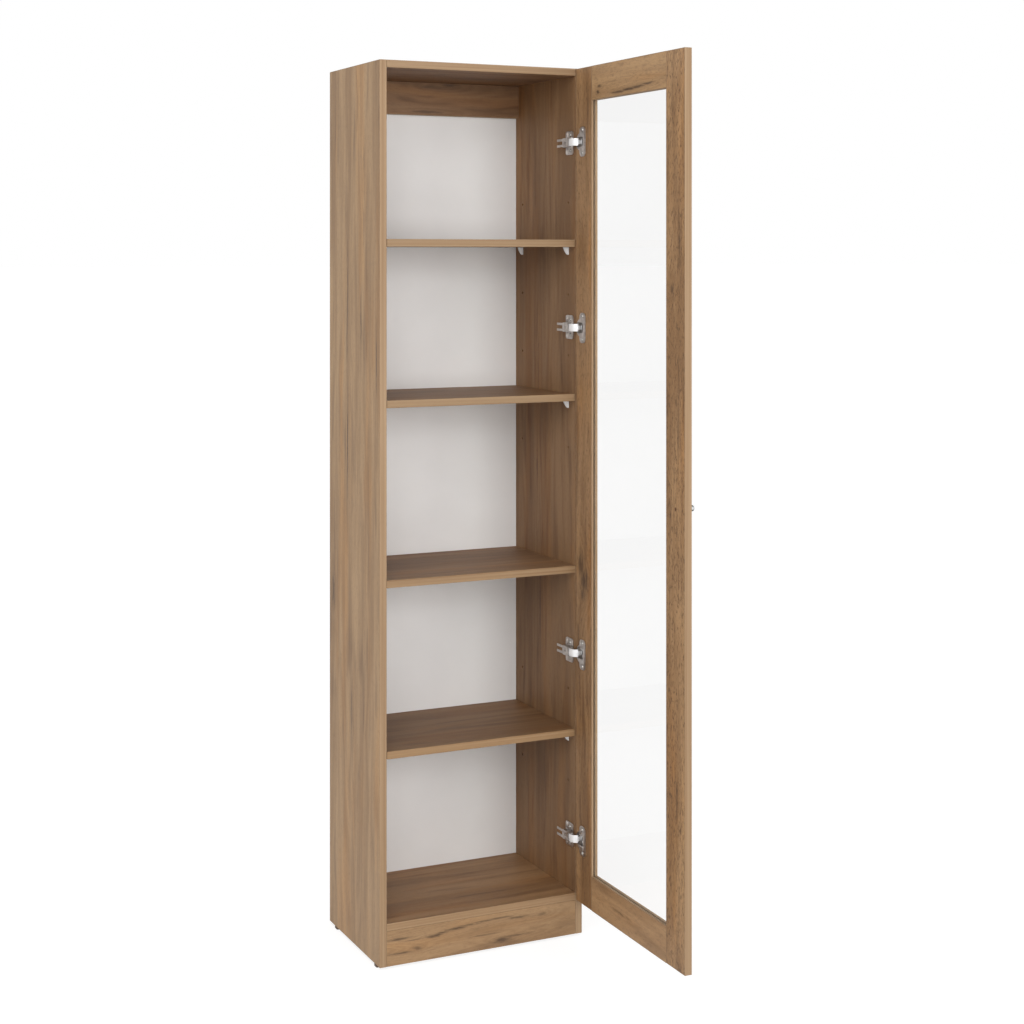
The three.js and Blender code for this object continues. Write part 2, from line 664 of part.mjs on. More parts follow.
// The outer link shows beside the arm's nose: a goose neck that wraps round the inner link into the cup.
function outerLinkShape() {
  const eye = wideEye();
  const mouth = fromPoint(openInnerPin, wrapReach.mouth, wrapTurnShares.mouth);
  const path = [
    eye.centre,
    fromPoint(innerCentre, wrapReach.pivot, wrapTurnShares.pivot),
    fromPoint(innerCentre, wrapReach.waist, wrapTurnShares.waist),
    mouth,
    fromPoint(openInnerPin, wrapReach.pin, wrapTurnShares.pin),
    openOuterPin,
  ];
  const half = linkWidth / 2;
  const neck = outerLinkNeck / 2;
  const far = openOuterPin.x + eyeRadius + overrun;
  const from = openInnerPin.x - cupMouthFromPin();
  const shoulders = [-1, 1].map((side) => block(
    new THREE.Vector3(from, mouth.y - half, side > 0 ? neck : -half - overrun),
    new THREE.Vector3(far, innerCentre.y, side > 0 ? half + overrun : -neck),
  ));
  let solid = solidFrom(bentStrip(path, linkThickness, half, bendSteps.outer));
  for (const shoulder of shoulders) solid = solid.subtract(solidFrom(shoulder));
  solid = solid.add(solidFrom(drum(eye.bore + eyeWall, eye.centre, half, sidesOf.eye)));
  solid = solid.add(solidFrom(drum(eyeRadius, openOuterPin, neck)));
  solid = solid.subtract(solidFrom(drum(eye.bore, eye.centre, half + overrun, sidesOf.eye)));
  return geometryFrom(solid.subtract(solidFrom(drum(pinRadius + pinPlay, openOuterPin, neck + overrun))));
}

function cupMouthFromPin() {
  return innerPin.intoDoor + flangeThickness + linkThickness;
}

function addHinges() {
  for (const [place, share] of Object.entries(hingeShares)) {
    const hinge = new THREE.Group();
    hinge.position.set(sideInner, 0, hingeHeight(share));
    addPiece(hinge, `hinge_${place}_plate`, plateShape(), colours.steel);
    addPiece(hinge, `hinge_${place}_arm`, armShape(), colours.steel);
    addPiece(hinge, `hinge_${place}_inner_link`, innerLinkShape(), colours.steel);
    addPiece(hinge, `hinge_${place}_outer_link`, outerLinkShape(), colours.chrome);
    root.add(hinge);
    const cup = addPiece(door, `hinge_${place}_cup`, cupShape(), colours.steel);
    cup.position.z = hingeHeight(share) - doorBottom;
  }
}

addCarcass();
addGlides();
addSupports();
addDoorFrame();
addGlazing();
addKnob();
addHinges();

const openCorner = doorPoint(0, 0, restOpening);
door.position.set(sideInner + openCorner.x, openCorner.y, doorBottom);
door.rotation.z = Math.PI + restOpening;
root.add(carcass, door);

// The origin stands on the floor under the middle of everything, the open door included.
root.updateMatrixWorld(true);
const bounds = new THREE.Box3().setFromObject(root, true);
const middle = bounds.getCenter(new THREE.Vector3());
root.position.set(-middle.x, -middle.y, -bounds.min.z);

export default root;
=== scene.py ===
# %% [markdown]
# # A tall bookcase with one glass door
#
# This notebook dresses a finished CAD model for a studio picture: a narrow bookcase
# of brown oak boards, with a white back, three loose shelves, one fixed shelf, and a
# framed glass door that stands open on four concealed hinges. The CAD model fixes every
# size and place. What is added here is what the eye knows the object by: the figure of
# the oak, the banded edges, the sheen of metal, and the screws and nails that hold it.

# %% [markdown]
# ## Load the frame
#
# The imported model comes in as one object per piece, each with its place in its mesh and
# its object at the origin. Loading leaves every piece selected, and an operator acts on all
# that is selected, so the selection is emptied before anything else.

# %% Load the frame
import math

import bpy
from mathutils import Euler, Matrix, Vector


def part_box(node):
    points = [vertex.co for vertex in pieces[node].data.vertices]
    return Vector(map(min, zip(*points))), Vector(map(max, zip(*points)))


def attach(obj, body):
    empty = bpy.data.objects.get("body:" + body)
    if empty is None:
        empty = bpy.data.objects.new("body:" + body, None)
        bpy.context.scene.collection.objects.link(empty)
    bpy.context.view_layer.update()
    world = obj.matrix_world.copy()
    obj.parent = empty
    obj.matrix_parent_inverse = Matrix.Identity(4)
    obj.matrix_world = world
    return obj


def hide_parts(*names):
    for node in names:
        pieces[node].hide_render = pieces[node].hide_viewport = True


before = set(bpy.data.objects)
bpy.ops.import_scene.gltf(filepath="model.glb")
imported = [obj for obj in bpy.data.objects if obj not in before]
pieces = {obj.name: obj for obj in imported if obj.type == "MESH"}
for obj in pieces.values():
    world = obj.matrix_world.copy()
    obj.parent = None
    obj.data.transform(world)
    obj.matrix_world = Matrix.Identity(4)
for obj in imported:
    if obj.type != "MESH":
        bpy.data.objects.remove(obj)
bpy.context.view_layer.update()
bpy.ops.object.select_all(action="DESELECT")

# %% [markdown]
# ## Two rulers
#
# The model has its origin under the middle of the whole object, open door included, which
# is no natural place to measure a board from. So two rulers are laid out: one from the
# middle of the carcass at its front edge, and one that lies along the door from its hinge
# edge, with its second axis through the thickness of the frame. A place on a board is
# written along one of the two. The door stands open at a little under a right angle.

# %% Two rulers
opening = 89.4  # degrees


def spread(names, ruler):
    to_ruler = ruler.inverted()
    places = [to_ruler @ vertex.co for name in names for vertex in pieces[name].data.vertices]
    return Vector(map(min, zip(*places))), Vector(map(max, zip(*places)))


low, high = spread(["left_side_panel", "right_side_panel"], Matrix())
carcass_ruler = Matrix.Translation(((low.x + high.x) / 2, low.y, 0))
door_turn = Matrix.Rotation(math.radians(180 + opening), 4, "Z")
low, _ = spread(["door_hinge_stile"], door_turn)
door_ruler = Matrix.Translation(door_turn @ Vector((low.x, low.y, 0))) @ door_turn
print("carcass from", carcass_ruler.translation, "door from", door_ruler.translation)

# %% [markdown]
# ## The camera
#
# The picture was taken from the left, a little over a metre and a half to the side, with
# the camera level, so upright edges stay upright. A level camera at eye height would put
# the bookcase too low in the frame. A view camera answers that by sliding the lens, and
# Blender's shift does the same, without tilting anything.

# %% The camera
eye = (-1.5544, -3.4124, 1.4142)  # metres, on the ruler of the carcass
pan = -25.376  # degrees
camera_data = bpy.data.cameras.new("studio camera")
camera_data.lens = 65.05
camera_data.sensor_width = 36
camera_data.shift_y = -0.2514
camera = bpy.data.objects.new("studio camera", camera_data)
camera.location = carcass_ruler @ Vector(eye)
camera.rotation_euler = (math.radians(90), 0, math.radians(pan))
bpy.context.scene.collection.objects.link(camera)
bpy.context.scene.camera = camera
print("lens", camera_data.lens, "mm at", [round(x, 3) for x in camera.location])

# %% [markdown]
# ## Sums of nodes
#
# A shader is a chain of small sums. Written out in full each sum takes four lines, so
# these helpers make a node, give it its values or join it to another node, and hand back
# its output. A value that is already an output of a node is joined, and any other value
# is written on the socket.

# %% Sums of nodes
def feed(tree, socket, value):
    if isinstance(value, bpy.types.NodeSocket):
        tree.links.new(value, socket)
    else:
        socket.default_value = value


def maths(tree, operation, *values):
    node = tree.nodes.new("ShaderNodeMath")
    node.operation = operation
    for socket, value in zip(node.inputs, values):
        feed(tree, socket, value)
    return node.outputs["Value"]


def times(tree, first, second):
    return maths(tree, "MULTIPLY", first, second)


def times_plus(tree, value, factor, more):
    return maths(tree, "MULTIPLY_ADD", value, factor, more)


def vector_maths(tree, operation, *values):
    node = tree.nodes.new("ShaderNodeVectorMath")
    node.operation = operation
    for socket, value in zip(node.inputs, values):
        feed(tree, socket, value)
    return node.outputs["Value" if operation == "LENGTH" else "Vector"]


def scaled(tree, vector, factor):
    node = tree.nodes.new("ShaderNodeVectorMath")
    node.operation = "SCALE"
    feed(tree, node.inputs["Vector"], vector)
    feed(tree, node.inputs["Scale"], factor)
    return node.outputs["Vector"]


print("sums:", maths.__name__, times_plus.__name__, vector_maths.__name__)

# %% [markdown]
# ## Steps, mixes and noises
#
# Three more nodes do most of the drawing. A soft step turns a value into a mask that
# rises from nothing to full between two limits, or falls when the first limit is the
# larger. A mix lays one colour over another. A noise is a cloud, which is stretched by
# squeezing the place that it is read at: a large number gives fine grain in that axis.

# %% Steps, mixes and noises
mix_share, mix_first, mix_second, mix_result = 0, 6, 7, 2  # sockets of a colour mix


def soft_step(tree, value, low, high):
    node = tree.nodes.new("ShaderNodeMapRange")
    node.interpolation_type = "SMOOTHSTEP"
    for label, number in (("Value", value), ("From Min", low), ("From Max", high)):
        feed(tree, node.inputs[label], number)
    return node.outputs["Result"]


def mixed(tree, share, first, second, blend="MIX"):
    node = tree.nodes.new("ShaderNodeMix")
    node.data_type = "RGBA"
    node.blend_type = blend
    for index, value in ((mix_share, share), (mix_first, first), (mix_second, second)):
        feed(tree, node.inputs[index], value)
    return node.outputs[mix_result]


def noise(tree, place, stretch, detail=2.0, roughness=0.5, output="Fac"):
    node = tree.nodes.new("ShaderNodeTexNoise")
    feed(tree, node.inputs["Vector"], vector_maths(tree, "MULTIPLY", place, stretch))
    node.inputs["Scale"].default_value = 1.0
    node.inputs["Detail"].default_value = detail
    node.inputs["Roughness"].default_value = roughness
    return node.outputs[output]


def along_axis(tree, place, axis):
    split = tree.nodes.new("ShaderNodeSeparateXYZ")
    feed(tree, split.inputs["Vector"], place)
    return split.outputs[axis]


def mapped(tree, place, location, rotation, kind="POINT"):
    mapping = tree.nodes.new("ShaderNodeMapping")
    mapping.vector_type = kind
    mapping.inputs["Location"].default_value = location
    mapping.inputs["Rotation"].default_value = rotation
    feed(tree, mapping.inputs["Vector"], place)
    return mapping.outputs["Vector"]


print("drawing:", soft_step.__name__, mixed.__name__, noise.__name__)

# %% [markdown]
# ## Groups and materials
#
# A pattern that several materials share is written once, as a node group with its own
# inputs and outputs. A group gives colours, masks and heights, and each material keeps
# its own shader. Every pattern is read at the place on the object, in metres, so that it
# stays with the piece when the door swings.

# %% Groups and materials
def new_group(name, inputs, outputs):
    tree = bpy.data.node_groups.new(name, "ShaderNodeTree")
    for in_out, sockets in (("INPUT", inputs), ("OUTPUT", outputs)):
        for label, kind in sockets.items():
            tree.interface.new_socket(label, in_out=in_out, socket_type="NodeSocket" + kind)
    source = tree.nodes.new("NodeGroupInput").outputs
    result = tree.nodes.new("NodeGroupOutput").inputs
    return tree, source, result


def use_group(tree, group, values):
    node = tree.nodes.new("ShaderNodeGroup")
    node.node_tree = group
    for label, value in values.items():
        feed(tree, node.inputs[label], value)
    return node.outputs


def new_material(name, roughness=0.5, metallic=0.0):
    material = bpy.data.materials.new(name)
    material.use_nodes = True
    tree = material.node_tree
    shader = tree.nodes["Principled BSDF"]
    shader.inputs["Roughness"].default_value = roughness
    shader.inputs["Metallic"].default_value = metallic
    return material, tree, shader, tree.nodes.new("ShaderNodeTexCoord").outputs["Object"]


def relief(tree, shader, height, depth):
    bump = tree.nodes.new("ShaderNodeBump")
    bump.inputs["Distance"].default_value = depth
    feed(tree, bump.inputs["Height"], height)
    feed(tree, shader.inputs["Normal"], bump.outputs["Normal"])


def paint(names, material):
    for name in names:
        pieces[name].material_slots[0].material = material
    print(material.name, "on", len(names), "pieces")


print("materials so far:", len(bpy.data.materials))

# %% [markdown]
# ## The figure of the oak
#
# The boards are particle board under a printed oak paper with a pressed-in grain. Along
# the board it changes slowly, across the board quickly, so every pattern here is a noise
# that is squeezed across the grain and pulled out along it. The grain is not straight
# either, so the place is first swayed by a slow noise, more on a wildly grown board. Then
# several scales lie over each other: rings that a knot can pull aside, broad bands a hand
# wide, flames of two fingers, and fibres.

# %% The figure of the oak
oak, given, made = new_group(
    "Oak figure",
    {"Place": "Vector", "Pull": "Float", "Dark": "Float", "Pale": "Color", "Deep": "Color",
     "Coarse": "Float", "Wild": "Float", "Lively": "Float"},
    {"Colour": "Color", "Roughness": "Float", "Height": "Float"},
)
middle_grey = (0.5, 0.5, 0.5)
sway = noise(oak, given["Place"], (9, 9, 1.6), 3.0, 0.6, "Color")
sway = vector_maths(oak, "SUBTRACT", sway, middle_grey)
sway = scaled(oak, sway, times(oak, given["Wild"], 0.045))
bent = vector_maths(oak, "ADD", given["Place"], sway)


def grown(stretch, detail=2.0, roughness=0.5):
    return noise(oak, bent, stretch, detail, roughness)


field = times_plus(oak, given["Pull"], 0.22, grown((9, 9, 0.9)))
wave = maths(oak, "SINE", times(oak, field, 70.0))
rings = times_plus(oak, wave, 0.5, 0.5)
broad = grown((17, 17, 1.2))
flames = grown((42, 42, 3.4))
fibres = grown((430, 430, 13), 3.0, 0.65)
print("oak patterns:", len(oak.nodes), "nodes")

# %% [markdown]
# ## The colours of the oak
#
# Rings, bands and flames together make one tone, from deep to pale. How lively a board is
# says how far its tone swings from the middle. Over the tone lie golden and smoky veils,
# and the fibres make all of it a little lighter and darker.

# %% The colours of the oak
mixture = times_plus(oak, rings, 0.06, times(oak, broad, 0.6))
mixture = times_plus(oak, flames, 0.34, mixture)
swing = maths(oak, "SUBTRACT", soft_step(oak, mixture, 0.37, 0.63), 0.5)
tone = times_plus(oak, swing, given["Lively"], 0.5)
colour = mixed(oak, tone, given["Deep"], given["Pale"])

gold, smoke_grey = (1.12, 0.97, 0.76, 1), (0.55, 0.52, 0.53, 1)
veil = soft_step(oak, grown((20, 20, 2)), 0.48, 0.7)
golden = mixed(oak, 1.0, colour, gold, "MULTIPLY")
colour = mixed(oak, times(oak, veil, 0.7), colour, golden)
smoke = soft_step(oak, grown((50, 50, 5.5)), 0.54, 0.72)
smoke = times(oak, times(oak, smoke, given["Lively"]), 0.75)
smoky = mixed(oak, 1.0, colour, smoke_grey, "MULTIPLY")
colour = mixed(oak, smoke, colour, smoky)
colour = scaled(oak, colour, times_plus(oak, fibres, 0.3, 0.85))
print("with its colours:", len(oak.nodes), "nodes")

# %% [markdown]
# ## The pores of the oak
#
# Oak is known by its open pores, fine ones and short dashes. They are dark, and on a
# coarse board many of them show. Marks in the grain come in from outside and are darker
# still. Pores and marks lie below the surface, fibres stand a little above it.

# %% The pores of the oak
pore_brown, mark_brown = (0.11, 0.06, 0.032, 1), (0.085, 0.05, 0.03, 1)
pores = soft_step(oak, grown((900, 900, 55)), 0.58, 0.7)
dashes = soft_step(oak, grown((270, 270, 85), 3.0, 0.7), 0.48, 0.7)
open_grain = times(oak, maths(oak, "MAXIMUM", pores, dashes), given["Coarse"])
colour = mixed(oak, open_grain, colour, pore_brown)
colour = mixed(oak, given["Dark"], colour, mark_brown)
feed(oak, made["Colour"], colour)
feed(oak, made["Roughness"], times_plus(oak, fibres, 0.2, 0.44))
height = times_plus(oak, pores, -0.8, times(oak, fibres, 0.6))
feed(oak, made["Height"], times_plus(oak, given["Dark"], -0.8, height))
print("oak figure:", len(oak.nodes), "nodes")

# %% [markdown]
# ## Knots and shakes
#
# A knot is where a branch grew: the rings swing round it and the wood goes dark. A shake
# is a split along the grain, long and thin, with a torn edge. Both are one thing here, a
# soft spot with its own width and length, which darkens its middle and pulls at the
# rings around it. The torn edge comes from a noise that pushes the spot about, so that a
# long one breaks into threads.

# %% Knots and shakes
mark, given, made = new_group(
    "Mark in the grain",
    {"Place": "Vector", "Centre": "Vector", "Size": "Vector", "Depth": "Float"},
    {"Dark": "Float", "Pull": "Float"},
)
offset = vector_maths(mark, "SUBTRACT", given["Place"], given["Centre"])
offset = vector_maths(mark, "DIVIDE", offset, given["Size"])
torn = noise(mark, given["Place"], (150, 150, 30), 3.0, 0.7, "Color")
torn = scaled(mark, vector_maths(mark, "SUBTRACT", torn, middle_grey), 2.8)
reach = vector_maths(mark, "LENGTH", vector_maths(mark, "ADD", offset, torn))
core = soft_step(mark, reach, 1.35, 0.2)
halo = soft_step(mark, vector_maths(mark, "LENGTH", offset), 2.6, 0.2)
dark = times_plus(mark, halo, 0.25, times(mark, core, 0.8))
feed(mark, made["Dark"], times(mark, dark, given["Depth"]))
near = vector_maths(mark, "LENGTH", scaled(mark, offset, 0.45))
pull = maths(mark, "DIVIDE", 1.0, times_plus(mark, near, near, 1.0))
feed(mark, made["Pull"], pull)
print("marks:", len(mark.nodes), "nodes")

# %% [markdown]
# ## How far to the edge
#
# The cut edges of a board look different from its faces, and where two sides meet,
# handling rubs the lacquer lighter. Both are a matter of how far a point lies from the
# sides of its board, which the board's own box tells. The least of the three distances
# is nearly nothing on every side, so the sides that get no strip are first moved far
# away. Where the second distance is small too, there is a corner.

# %% How far to the edge
edges, given, made = new_group(
    "Board edge",
    {"Place": "Vector", "Low": "Vector", "High": "Vector", "Skip": "Vector", "Across": "Vector"},
    {"Band": "Float", "Glue": "Float", "Rubbed": "Float", "Stripes": "Float"},
)


def least_and_middle(vector):
    x, y, z = (along_axis(edges, vector, axis) for axis in "XYZ")
    least = maths(edges, "MINIMUM", maths(edges, "MINIMUM", x, y), z)
    most = maths(edges, "MAXIMUM", maths(edges, "MAXIMUM", x, y), z)
    total = maths(edges, "ADD", maths(edges, "ADD", x, y), z)
    most_and_middle = maths(edges, "SUBTRACT", total, least)
    return least, maths(edges, "SUBTRACT", most_and_middle, most)


from_low = vector_maths(edges, "SUBTRACT", given["Place"], given["Low"])
from_high = vector_maths(edges, "SUBTRACT", given["High"], given["Place"])
nearest = vector_maths(edges, "MINIMUM", from_low, from_high)
to_edge, _ = least_and_middle(vector_maths(edges, "ADD", nearest, given["Skip"]))
_, to_corner = least_and_middle(nearest)
print("distances:", len(edges.nodes), "nodes")

# %% [markdown]
# ## Bands, glue and rubbed corners
#
# The edge is closed with a strip nearly a millimetre thick, paler and straighter in its
# grain than the face, and a hair of dark glue shows beside it. Corners are rubbed in
# patches, not evenly. The small limits are distances in metres.

# %% Bands, glue and rubbed corners
feed(edges, made["Band"], soft_step(edges, to_edge, 0.00085, 0.00075))
glue_starts = soft_step(edges, to_edge, 0.0007, 0.0009)
glue_ends = soft_step(edges, to_edge, 0.0013, 0.0010)
feed(edges, made["Glue"], times(edges, glue_starts, glue_ends))
patchy = noise(edges, given["Place"], (60, 60, 60), 3.0, 0.6)
patchy = soft_step(edges, patchy, 0.42, 0.62)
at_corner = soft_step(edges, to_corner, 0.0011, 0.0002)
feed(edges, made["Rubbed"], times(edges, at_corner, patchy))
stripes = noise(edges, given["Across"], (190, 190, 1.4), 2.0, 0.55)
feed(edges, made["Stripes"], soft_step(edges, stripes, 0.3, 0.7))
print("board edge:", len(edges.nodes), "nodes")

# %% [markdown]
# ## Runs of grain and tints
#
# The pattern is upright, so on a lying board it is turned by a right angle. It is also
# moved a long way for each board, so that no two show the same figure. One pale and one
# deep brown serve all boards, and a tint makes a board darker or redder than its
# neighbours; on the boards inside the carcass the darker tint is painted shade. A side
# that gets no strip is moved so far off that it never counts as near.

# %% Runs of grain and tints
grain_turn = {"X": Euler((0, math.radians(90), 0)), "Z": Euler((0, 0, 0))}
own_shift = Vector((0.37, 0.61, 1.7))
far = 9.0  # metres
no_band = {"X": Vector((far, 0, 0)), "Y": Vector((0, far, 0)), "Z": Vector((0, 0, far))}
oak_pale, oak_deep = (0.455, 0.302, 0.172), (0.27, 0.163, 0.086)
band_pale, band_deep = (0.38, 0.252, 0.146), (0.29, 0.177, 0.093)
bare_board = (0.42, 0.3, 0.17)
glue_brown, rubbed_pale = (0.1, 0.06, 0.034, 1), (0.5, 0.36, 0.22, 1)


def tinted(colour, tint):
    return tuple(a * b for a, b in zip(colour, tint)) + (1,)


print("pale oak", oak_pale, "deep oak", oak_deep)

# %% [markdown]
# ## Marks, strips and bare edges
#
# A board lists its own marks. Each is a place on the ruler, a width, a length and a depth
# of colour, and the place goes through the same turn as the grain. The strip has a tint
# of its own, but above a height that the board gives it takes a deeper colour, which is a
# painted shadow of the open door. The rear edges of the sides face a wall and stay bare
# particle board, rough with chips.

# %% Marks, strips and bare edges
def marks_on(tree, along, turn, shift, marks):
    dark, pull = 0.0, 0.0
    for at, width, length, depth in marks:
        spot = use_group(tree, mark, {
            "Place": along, "Centre": turn.to_matrix() @ Vector(at) + shift,
            "Size": (width, width, length), "Depth": depth})
        dark = maths(tree, "MAXIMUM", spot["Dark"], dark)
        pull = maths(tree, "ADD", spot["Pull"], pull)
    return {"Dark": dark, "Pull": pull}


def strip_colour(tree, place, stripes, tint, band, door_shadow_above):
    strip = mixed(tree, stripes, tinted(band_deep, band), tinted(band_pale, band))
    if not door_shadow_above:
        return strip
    # Above the given height the strip takes a deeper colour: a painted shadow of the open door.
    height = along_axis(tree, place, "Z")
    door_shadow = soft_step(tree, height, door_shadow_above - 0.003, door_shadow_above + 0.003)
    return mixed(tree, door_shadow, strip, tinted(band_deep, tint))


def bare_at_rear(tree, place, rear_face, colour, height):
    rear = along_axis(tree, place, "Y")
    rear = soft_step(tree, rear, rear_face - 0.0007, rear_face - 0.0005)
    chips = noise(tree, place, (420, 420, 420), 3.0, 0.65)
    bare = scaled(tree, bare_board, times_plus(tree, chips, 1.3, 0.35))
    rough = times_plus(tree, times(tree, rear, chips), 2.0, height)
    return mixed(tree, rear, colour, bare), rough


print("a board has:", marks_on.__name__, strip_colour.__name__, bare_at_rear.__name__)

# %% [markdown]
# ## One board, one material
#
# Each board gets its own material, because each has its own box, its own run of grain and
# its own marks. Its place is first read along its ruler. The figure of the oak comes
# first, then the strip with its line of glue, then the rubbed corners, and last the bare
# rear edge where there is one.

# %% One board, one material
def oak_board(name, grain, plain, tint, lively, marks=(), band=(1, 1, 1), coarse=0.2,
              wild=1.0, ruler=carcass_ruler, bare_rear=False, door_shadow_above=0):
    material, tree, shader, place = new_material("oak of " + name)
    place = mapped(tree, place, ruler.translation, ruler.to_euler(), "TEXTURE")
    turn, shift = grain_turn[grain], own_shift * len(bpy.data.materials)
    along = mapped(tree, place, shift, turn)
    wood = use_group(tree, oak, {
        "Place": along, "Pale": tinted(oak_pale, tint), "Deep": tinted(oak_deep, tint),
        "Coarse": coarse, "Wild": wild, "Lively": lively,
        **marks_on(tree, along, turn, shift, marks)})
    low, high = spread([name], ruler)
    skip = sum((no_band[axis] for axis in plain), Vector((0, 0, 0)))
    edge = use_group(tree, edges, {
        "Place": place, "Low": low, "High": high, "Skip": skip, "Across": along})
    strip = strip_colour(tree, place, edge["Stripes"], tint, band, door_shadow_above)
    colour = mixed(tree, edge["Band"], wood["Colour"], strip)
    colour = mixed(tree, times(tree, edge["Glue"], 0.5), colour, glue_brown)
    colour = mixed(tree, times(tree, edge["Rubbed"], 0.28), colour, rubbed_pale)
    height = wood["Height"]
    if bare_rear:
        colour, height = bare_at_rear(tree, place, high.y, colour, height)
    feed(tree, shader.inputs["Base Color"], colour)
    feed(tree, shader.inputs["Roughness"], wood["Roughness"])
    shader.inputs["Specular IOR Level"].default_value = 0.3
    relief(tree, shader, height, 0.0001)
    paint([name], material)


print("helper for a board:", oak_board.__name__)

# %% [markdown]
# ## The sides of the carcass
#
# The sides have upright grain, and their marks lie on the face that is seen. The left
# side shows a few smoky shakes. The right side, which faces into the carcass, gets a
# deeper tint as painted shade, and one very wide and weak mark paints more shade over
# its lower half.

# %% The sides of the carcass
outer_face, inner_face = -0.225, 0.21  # of the left side and of the right side


def on_side(x, marks):
    return [((x, y, z), *size) for y, z, *size in marks]


left_marks = [
    (0.104, 1.28, 0.0035, 0.06, 0.75), (0.181, 1.33, 0.0035, 0.11, 0.7),
    (0.186, 1.23, 0.003, 0.07, 0.5), (0.181, 1.02, 0.0024, 0.1, 0.95),
    (0.267, 0.71, 0.010, 0.035, 0.7), (0.158, 0.47, 0.006, 0.06, 0.45),
    (0.086, 1.61, 0.004, 0.05, 0.35), (0.017, 1.21, 0.0022, 0.06, 0.8),
]
right_marks_and_shade = [
    (0.18, 0.965, 0.003, 0.06, 0.7), (0.09, 1.45, 0.003, 0.05, 0.4),
    (0.165, 0.66, 0.0035, 0.09, 0.6), (0.175, 1.17, 0.003, 0.07, 0.4),
    # the last entry is no mark in the wood but painted shade over the lower half
    (0.15, 0.42, 0.4, 0.4, 0.17),
]
oak_board("left_side_panel", "Z", "X", (1.09, 1.07, 1.03), 0.72,
          on_side(outer_face, left_marks), wild=1.1, bare_rear=True)
# The right side gets a deeper tint as painted shade, and above 9 cm a painted shadow of the door
# on its front strip.
oak_board("right_side_panel", "Z", "X", (0.78, 0.69, 0.6), 0.7,
          on_side(inner_face, right_marks_and_shade), bare_rear=True, door_shadow_above=0.09)

# %% [markdown]
# ## The lying boards of the carcass
#
# The kick board has the most marks: a few short ones near its left end, and a long shake
# that climbs to the right. The other boards lie inside the carcass, and their darker tints
# are painted shade, darkest on the top panel and the back rail, which lie in the deepest
# shade. The shelves are calm and much alike, and differ mostly in the tint of their strips.

# %% The lying boards of the carcass
def on_front(y, marks):
    return [((x, y, z), *size) for x, z, *size in marks]


kick_marks = [
    (-0.108, 0.051, 0.0035, 0.02, 0.87), (-0.085, 0.0545, 0.0022, 0.022, 0.83),
    (-0.06, 0.058, 0.0026, 0.022, 0.83), (-0.03, 0.061, 0.0018, 0.026, 0.69),
    (0.005, 0.0635, 0.0016, 0.028, 0.69), (0.04, 0.0645, 0.002, 0.026, 0.64),
    (0.078, 0.06, 0.0026, 0.026, 0.69), (0.042, 0.019, 0.005, 0.02, 0.83),
    (0.07, 0.024, 0.002, 0.03, 0.64), (-0.178, 0.028, 0.0022, 0.02, 0.74),
    (-0.143, 0.033, 0.004, 0.012, 0.64), (-0.183, 0.056, 0.0024, 0.024, 0.74),
    (-0.155, 0.05, 0.0016, 0.02, 0.55), (0.132, 0.058, 0.004, 0.012, 0.46),
    (0.0, 0.035, 0.0016, 0.03, 0.46),
]
rail_marks = [
    (0.045, 1.782, 0.006, 0.02, 0.8), (0.0, 1.775, 0.005, 0.03, 0.5),
    (-0.01, 1.722, 0.003, 0.04, 0.7),
]
top_marks = [((-0.05, 0.1, 1.785), 0.02, 0.02, 0.6), ((0.05, 0.16, 1.785), 0.01, 0.06, 0.6)]
bottom_marks = [((0.03, 0.08, 0.09), 0.003, 0.07, 0.5)]
# The dark tints of the top panel, the bottom panel and the back rail are painted shade.
oak_board("top_panel", "X", "ZX", (0.58, 0.47, 0.4), 0.8, top_marks, (0.97, 0.97, 0.97), wild=1.4)
oak_board("bottom_panel", "X", "ZX", (0.87, 0.76, 0.64), 0.65, bottom_marks, (0.98, 0.95, 0.9))
oak_board("kick_board", "X", "YXZ", (0.95, 0.91, 0.84), 0.65, on_front(0, kick_marks), wild=1.6)
oak_board("back_rail", "X", "YX", (0.64, 0.55, 0.49), 0.8, on_front(0.272, rail_marks), wild=1.4)
# For each shelf, the first tint is painted shade and the second the tint of its strip.
shelf_shade_and_strip_tints = {
    "fixed_shelf": ((0.68, 0.59, 0.52), (0.84, 0.8, 0.73)),
    "loose_shelf_upper": ((0.66, 0.57, 0.49), (1.0, 1.02, 1.02)),
    "loose_shelf_middle": ((0.66, 0.57, 0.49), (0.88, 0.87, 0.83)),
    "loose_shelf_lower": ((0.62, 0.53, 0.44), (0.93, 0.88, 0.78)),
}
for name, (tint, band) in shelf_shade_and_strip_tints.items():
    oak_board(name, "X", "ZX", tint, 0.65, band=band)

# %% [markdown]
# ## The door frame
#
# The four members of the door are coarser than the carcass, with sharper pores. The stiles
# stand over the full height and the rails lie between them, so the grain changes direction
# along a fine upright line at each corner. Their marks are placed along the door's ruler.
# The hinge stile has a knot of three spots below its middle, and a broken shake runs
# along the top rail.

# %% The door frame
def door_member(name, grain, plain, tint, lively, coarse, marks):
    oak_board(name, grain, plain, tint, lively, on_front(0, marks),
              coarse=coarse, wild=1.4, ruler=door_ruler)


